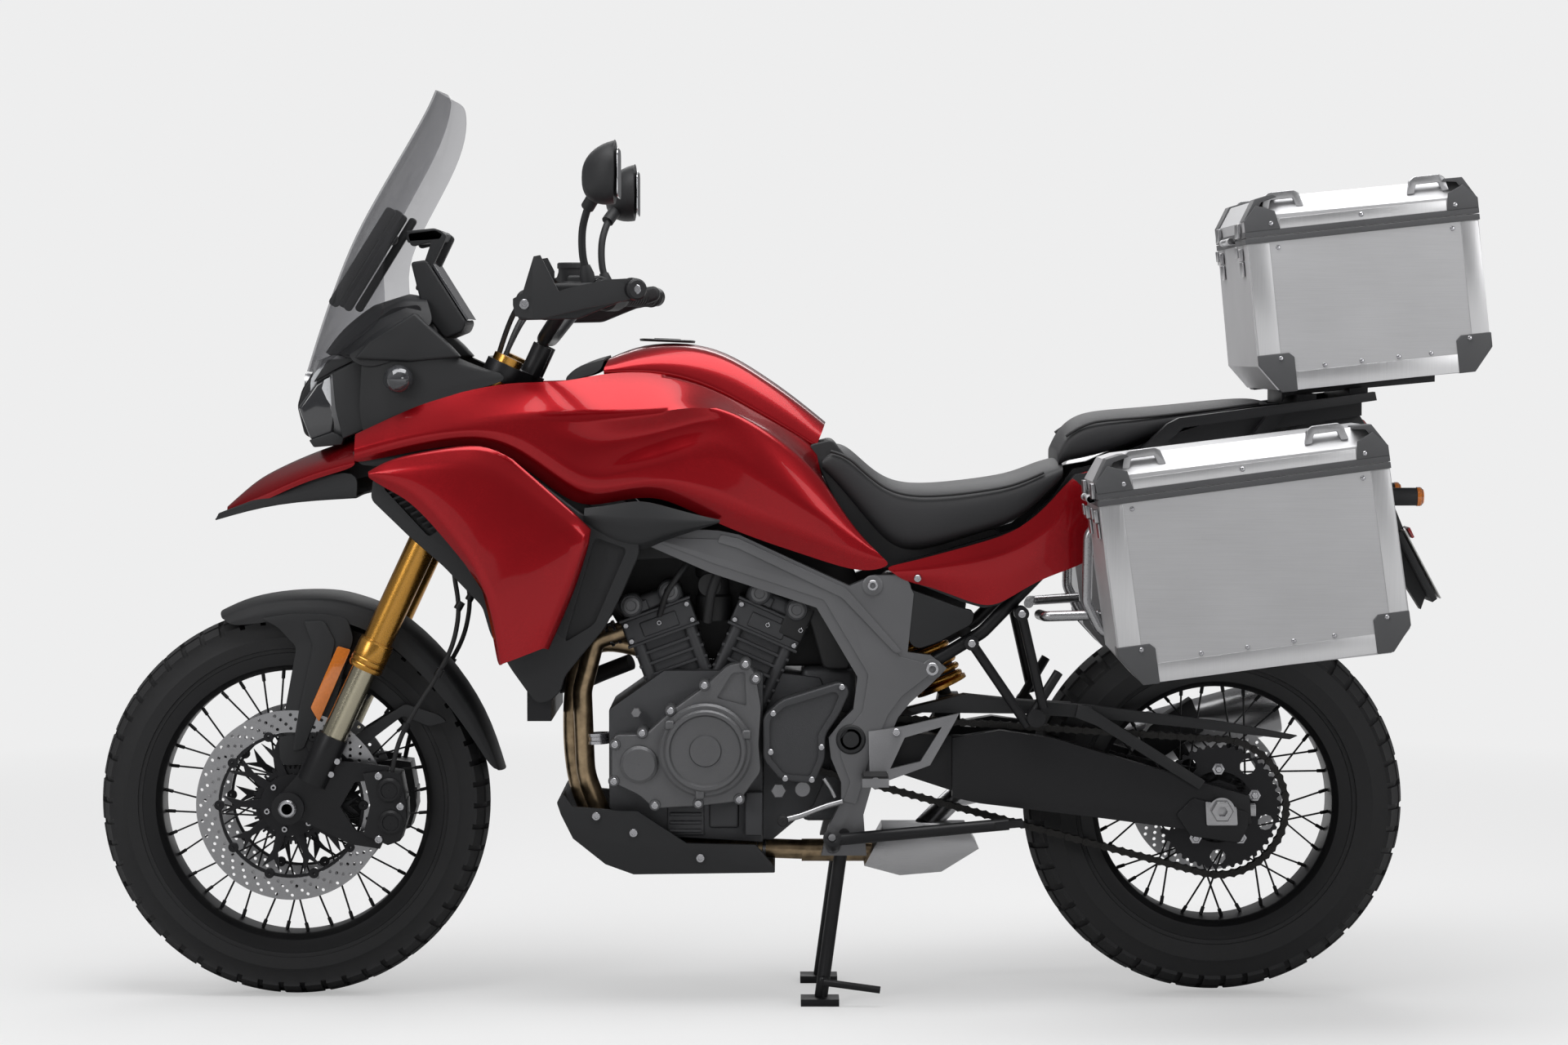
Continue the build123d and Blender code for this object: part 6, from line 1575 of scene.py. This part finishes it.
def rivet(x, y, z, out, radius=4.0):
    """A domed rivet head on a face that looks along Y."""
    dome = [(0.3, 0), (radius, 0), (radius, 0.8), (0.7 * radius, 2.2), (0.3, 2.8)]
    return turned_piece("rivet", dome, (x * mm, y * mm, z * mm), aim=(0, out, 0), steps=14)


def rectangle(u0, v0, u1, v1):
    """Its four corners, from the first to the one across."""
    return [(u0, v0), (u1, v0), (u1, v1), (u0, v1)]


def case_part(name, place, corners, near, far, **shape):
    """A moulding with its corners given along the seam and up from it."""
    return moulding(name, [place(u, v) for u, v in corners], *sorted((near, far)), **shape)


def strip(place, spread, y, out, thick=1.2, edge=0.4):
    """A thin rectangular plate on a side of the case."""
    return case_part("strip", place, rectangle(*spread), -y, -y - out * thick, edge=edge)


def lid_handle(place, u, v, y, out):
    """A cast bail handle that stands on the lid's bevel."""
    legs = [(u - 35, v - 17), (u - 29, v + 5), (u - 20.5, v + 11), (u + 20.5, v + 11), (u + 29, v + 5),
        (u + 35, v - 17), (u + 23, v - 17), (u + 18.5, v - 2), (u - 18.5, v - 2), (u - 23, v - 17)]
    return case_part("handle", place, legs, -y + out * 9, -y + out * 21, rounding=2.0, edge=1.6)


def dressed_case(name, seam_front, seam_rear, low_y, high_y, depth, sides, foot=((33, 1.5), (1.5, 48))):
    """Everything that is fixed to one case and its lid, on those long sides that are clear of the rack."""
    place = case_frame(seam_front, seam_rear)
    width = (Vector(seam_rear) - Vector(seam_front)).length
    lid_shape = [(0, 0.4), (width, 0.4), (width, 26), (width - 20, 60), (44, 64), (22, 60), (0, 27)]
    lid_body = f"{name}_lid"
    lid = case_part(f"{name}_lid_shell", place, lid_shape, -high_y, -low_y)
    crest = [Vector(place(22, 60)), Vector(place(44, 64)), Vector(place(width - 20, 60))]

    def on_crest(rim):
        a, b = (lid.data.vertices[index].co for index in rim.vertices)
        gaps = [min((Vector((p.x / mm, p.z / mm)) - c).length for c in crest) for p in (a, b)]
        return abs(a.y - b.y) < 1e-5 and max(gaps) < 2

    choose(lid, "EDGE", on_crest)
    bpy.ops.mesh.bevel(offset=lid_bevel, segments=1, affect="EDGES")
    close_mesh()
    below = Vector(place(width / 2, 0.4)) * mm

    def underside(face):
        return abs(face.normal.y) < 0.2 and face.normal.z < -0.8 and abs(face.center.z - below.y) < 20 * mm

    choose(lid, "FACE", underside)
    bpy.ops.mesh.delete(type="FACE")
    close_mesh()
    fitted(thickened(lid, 3.0), case_metal, lid_body, "case_aluminium", lid_body)

    grey, grey_lid, bright, bright_lid, rivets, rivets_lid, handles = [], [], [], [], [], [], []
    for y, out in sides:
        caps = (
            [(-1.8, -depth + 62), (50, -depth + 62), (58, -depth + 54), (58, -depth - 1.8), (32, -depth - 1.8),
                (-1.8, -depth + 46)],
            [(width + 1.8, -depth + 60), (width - 48, -depth + 60), (width - 56, -depth + 52),
                (width - 56, -depth - 1.8), (width - 30, -depth - 1.8), (width + 1.8, -depth + 36)])
        for cap in caps:
            piece = case_part("cap", place, cap, -y - out * 2.6, -y + out * 46, edge=1.5)
            room = [(1.5, 5), (width - 1.5, 5), (width - 1.5, -depth + 38), (width - 33, -depth + 1.5),
                *((u, -depth + v) for u, v in foot)]
            grey.append(cut_away(piece, case_part("room", place, room, -y + out * 2, -y + out * 60)))
        for cap in (
                [(-1.8, 10), (56, 10), (50, 40), (20, 52), (-1.8, 28)],
                [(width + 1.8, 10), (width - 50, 10), (width - 46, 38), (width - 20, 50), (width + 1.8, 26)]):
            grey_lid.append(case_part("lid_cap", place, cap, -y - out * 2.8, -y + out * 0.5, edge=0.8))
        for cap in (
                [(56, 62), (50, 66.5), (42, 66.5), (20, 62.5), (-1.8, 28), (10, 28), (30, 56)],
                [(width - 50, 58), (width - 48, 62.5), (width - 20, 62), (width + 1.8, 26), (width - 12, 26),
                    (width - 30, 55)]):
            piece = case_part("lid_cap_top", place, cap, -y + out, -y + out * 60, edge=0.8)
            room = [(1.5, 8), (1.5, 26.5), (23, 58.5), (44, 62.3), (width - 21, 58.3), (width - 1.6, 25.6),
                (width - 1.6, 8)]
            grey_lid.append(cut_away(piece, case_part("room", place, room, -y + out * 2, -y + out * 70)))
        grey.append(strip(place, (-2, -10, width + 2, -0.8), y, out, 2.2, 0.6))
        grey_lid.append(strip(place, (-2, 0.8, width + 2, 10), y, out, 2.2, 0.6))
        bright.append(strip(place, (1, -11, 36, -depth + 62), y, out))
        bright.append(strip(place, (width - 30, -11, width - 1, -depth + 60), y, out))
        bright_lid.append(strip(place, (56, 10, width - 50, 27), y, out, 0.8))
        grey_spots = [(36, -depth + 54), (width - 34, -depth + 54)]
        plain_spots = [(50, -20), (width - 44, -20)]
        plain_spots += [(width * share, -depth + 36) for share in (0.28, 0.44, 0.60, 0.74)]
        for u, v in grey_spots + plain_spots:
            x, z = place(u, v)
            rivets.append(rivet(x, y + out * (2.6 if (u, v) in grey_spots else 0), z, out))
        for u, v in ((42, 20), (width - 36, 18), (width / 2, 19)):
            x, z = place(u, v)
            rivets_lid.append(rivet(x, y + out * 2.6, z, out))
        for share in (0.17, 0.80):
            handles.append(lid_handle(place, width * share, 60, y, out))
        bright.append(strip(place, (58, -depth, width - 56, -depth + 30), y, out, 0.7))
    for u0, u1 in ((-2.2, 0), (width, width + 2.2)):
        grey.append(case_part("band", place, rectangle(u0, -10, u1, -0.8), -high_y, -low_y))
        grey_lid.append(case_part("band", place, rectangle(u0, 0.8, u1, 10), -high_y, -low_y))
    latches, plates = [], []
    span = high_y - low_y
    for share in (0.17, 0.83):
        y = -(low_y + span * share)
        for lower, upper, out in ((-62, -36, 5), (-36, -14, 9)):
            latches.append(case_part("latch", place, rectangle(-out, lower, -2, upper - 2), y - 19, y + 19, edge=1.2))
        latches.append(case_part("bail", place, rectangle(-12, -30, -9, -12), y - 12, y + 12, edge=1.0))
        plates.append(case_part("latch_plate", place, [(-9, 2), (-2, 2), (-2, 26), (-7, 26)], y - 19, y + 19,
            edge=1.2))
    lock_x, lock_z = place(width + 2, -24)
    middle = (low_y + high_y) / 2
    latches.append(turned_piece("lock", [(0.5, 0), (9, 0), (9, 5), (6, 7), (0.5, 7)],
        (lock_x * mm, middle * mm, lock_z * mm), aim=(1, 0, 0.1), steps=18))
    for owner, knuckle_body, knuckles, offset in ((name, "frame", ((-60, -31), (31, 60)), -1),
            (lid_body, lid_body, ((-30, 30),), 1)):
        barrel = []
        for start, end in knuckles:
            x, z = place(-8, 0)
            barrel.append(turned_piece("knuckle", [(0.3, start), (5.6, start), (5.6, end), (0.3, end)],
                (x * mm, middle * mm, z * mm), steps=18))
            barrel.append(case_part("leaf", place, rectangle(-9, offset, 1, offset * 5), -middle + start,
                -middle + end))
        fitted(joined(f"{owner}_hinge", barrel), latch_metal, knuckle_body, "bright_steel")
    for label, parts, finish, body, slot in (
            ("caps_and_rim", grey, case_grey, "frame", "black_plastic"),
            ("lid_caps_and_rim", grey_lid, case_grey, lid_body, "black_plastic"),
            ("edges", bright, case_bright, "frame", "case_aluminium"),
            ("lid_edges", bright_lid, case_bright, lid_body, "case_aluminium"),
            ("rivets", rivets, bolt_steel, "frame", "bright_steel"),
            ("lid_rivets", rivets_lid, bolt_steel, lid_body, "bright_steel"),
            ("lid_handles", handles, latch_metal, lid_body, "bright_steel"),
            ("latches", latches, latch_metal, "frame", "bright_steel"),
            ("latch_plates", plates, latch_metal, lid_body, "bright_steel")):
        fitted(joined(f"{name}_{label}", parts), finish, body, slot)
    dress(name, case_metal)


dressed_case("top_box", (756, 1276), (1134, 1317), -210.0, 210.0, 255.0, ((-210.0, -1), (210.0, 1)),
    foot=((27.1, 3.6), (1.5, 40.5)))
dressed_case("left_pannier", (494, 858), (949, 919), -480.0, -232.0, 296.0, ((-480.0, -1),))
dressed_case("right_pannier", (494, 858), (949, 919), 232.0, 480.0, 296.0, ((480.0, 1),))
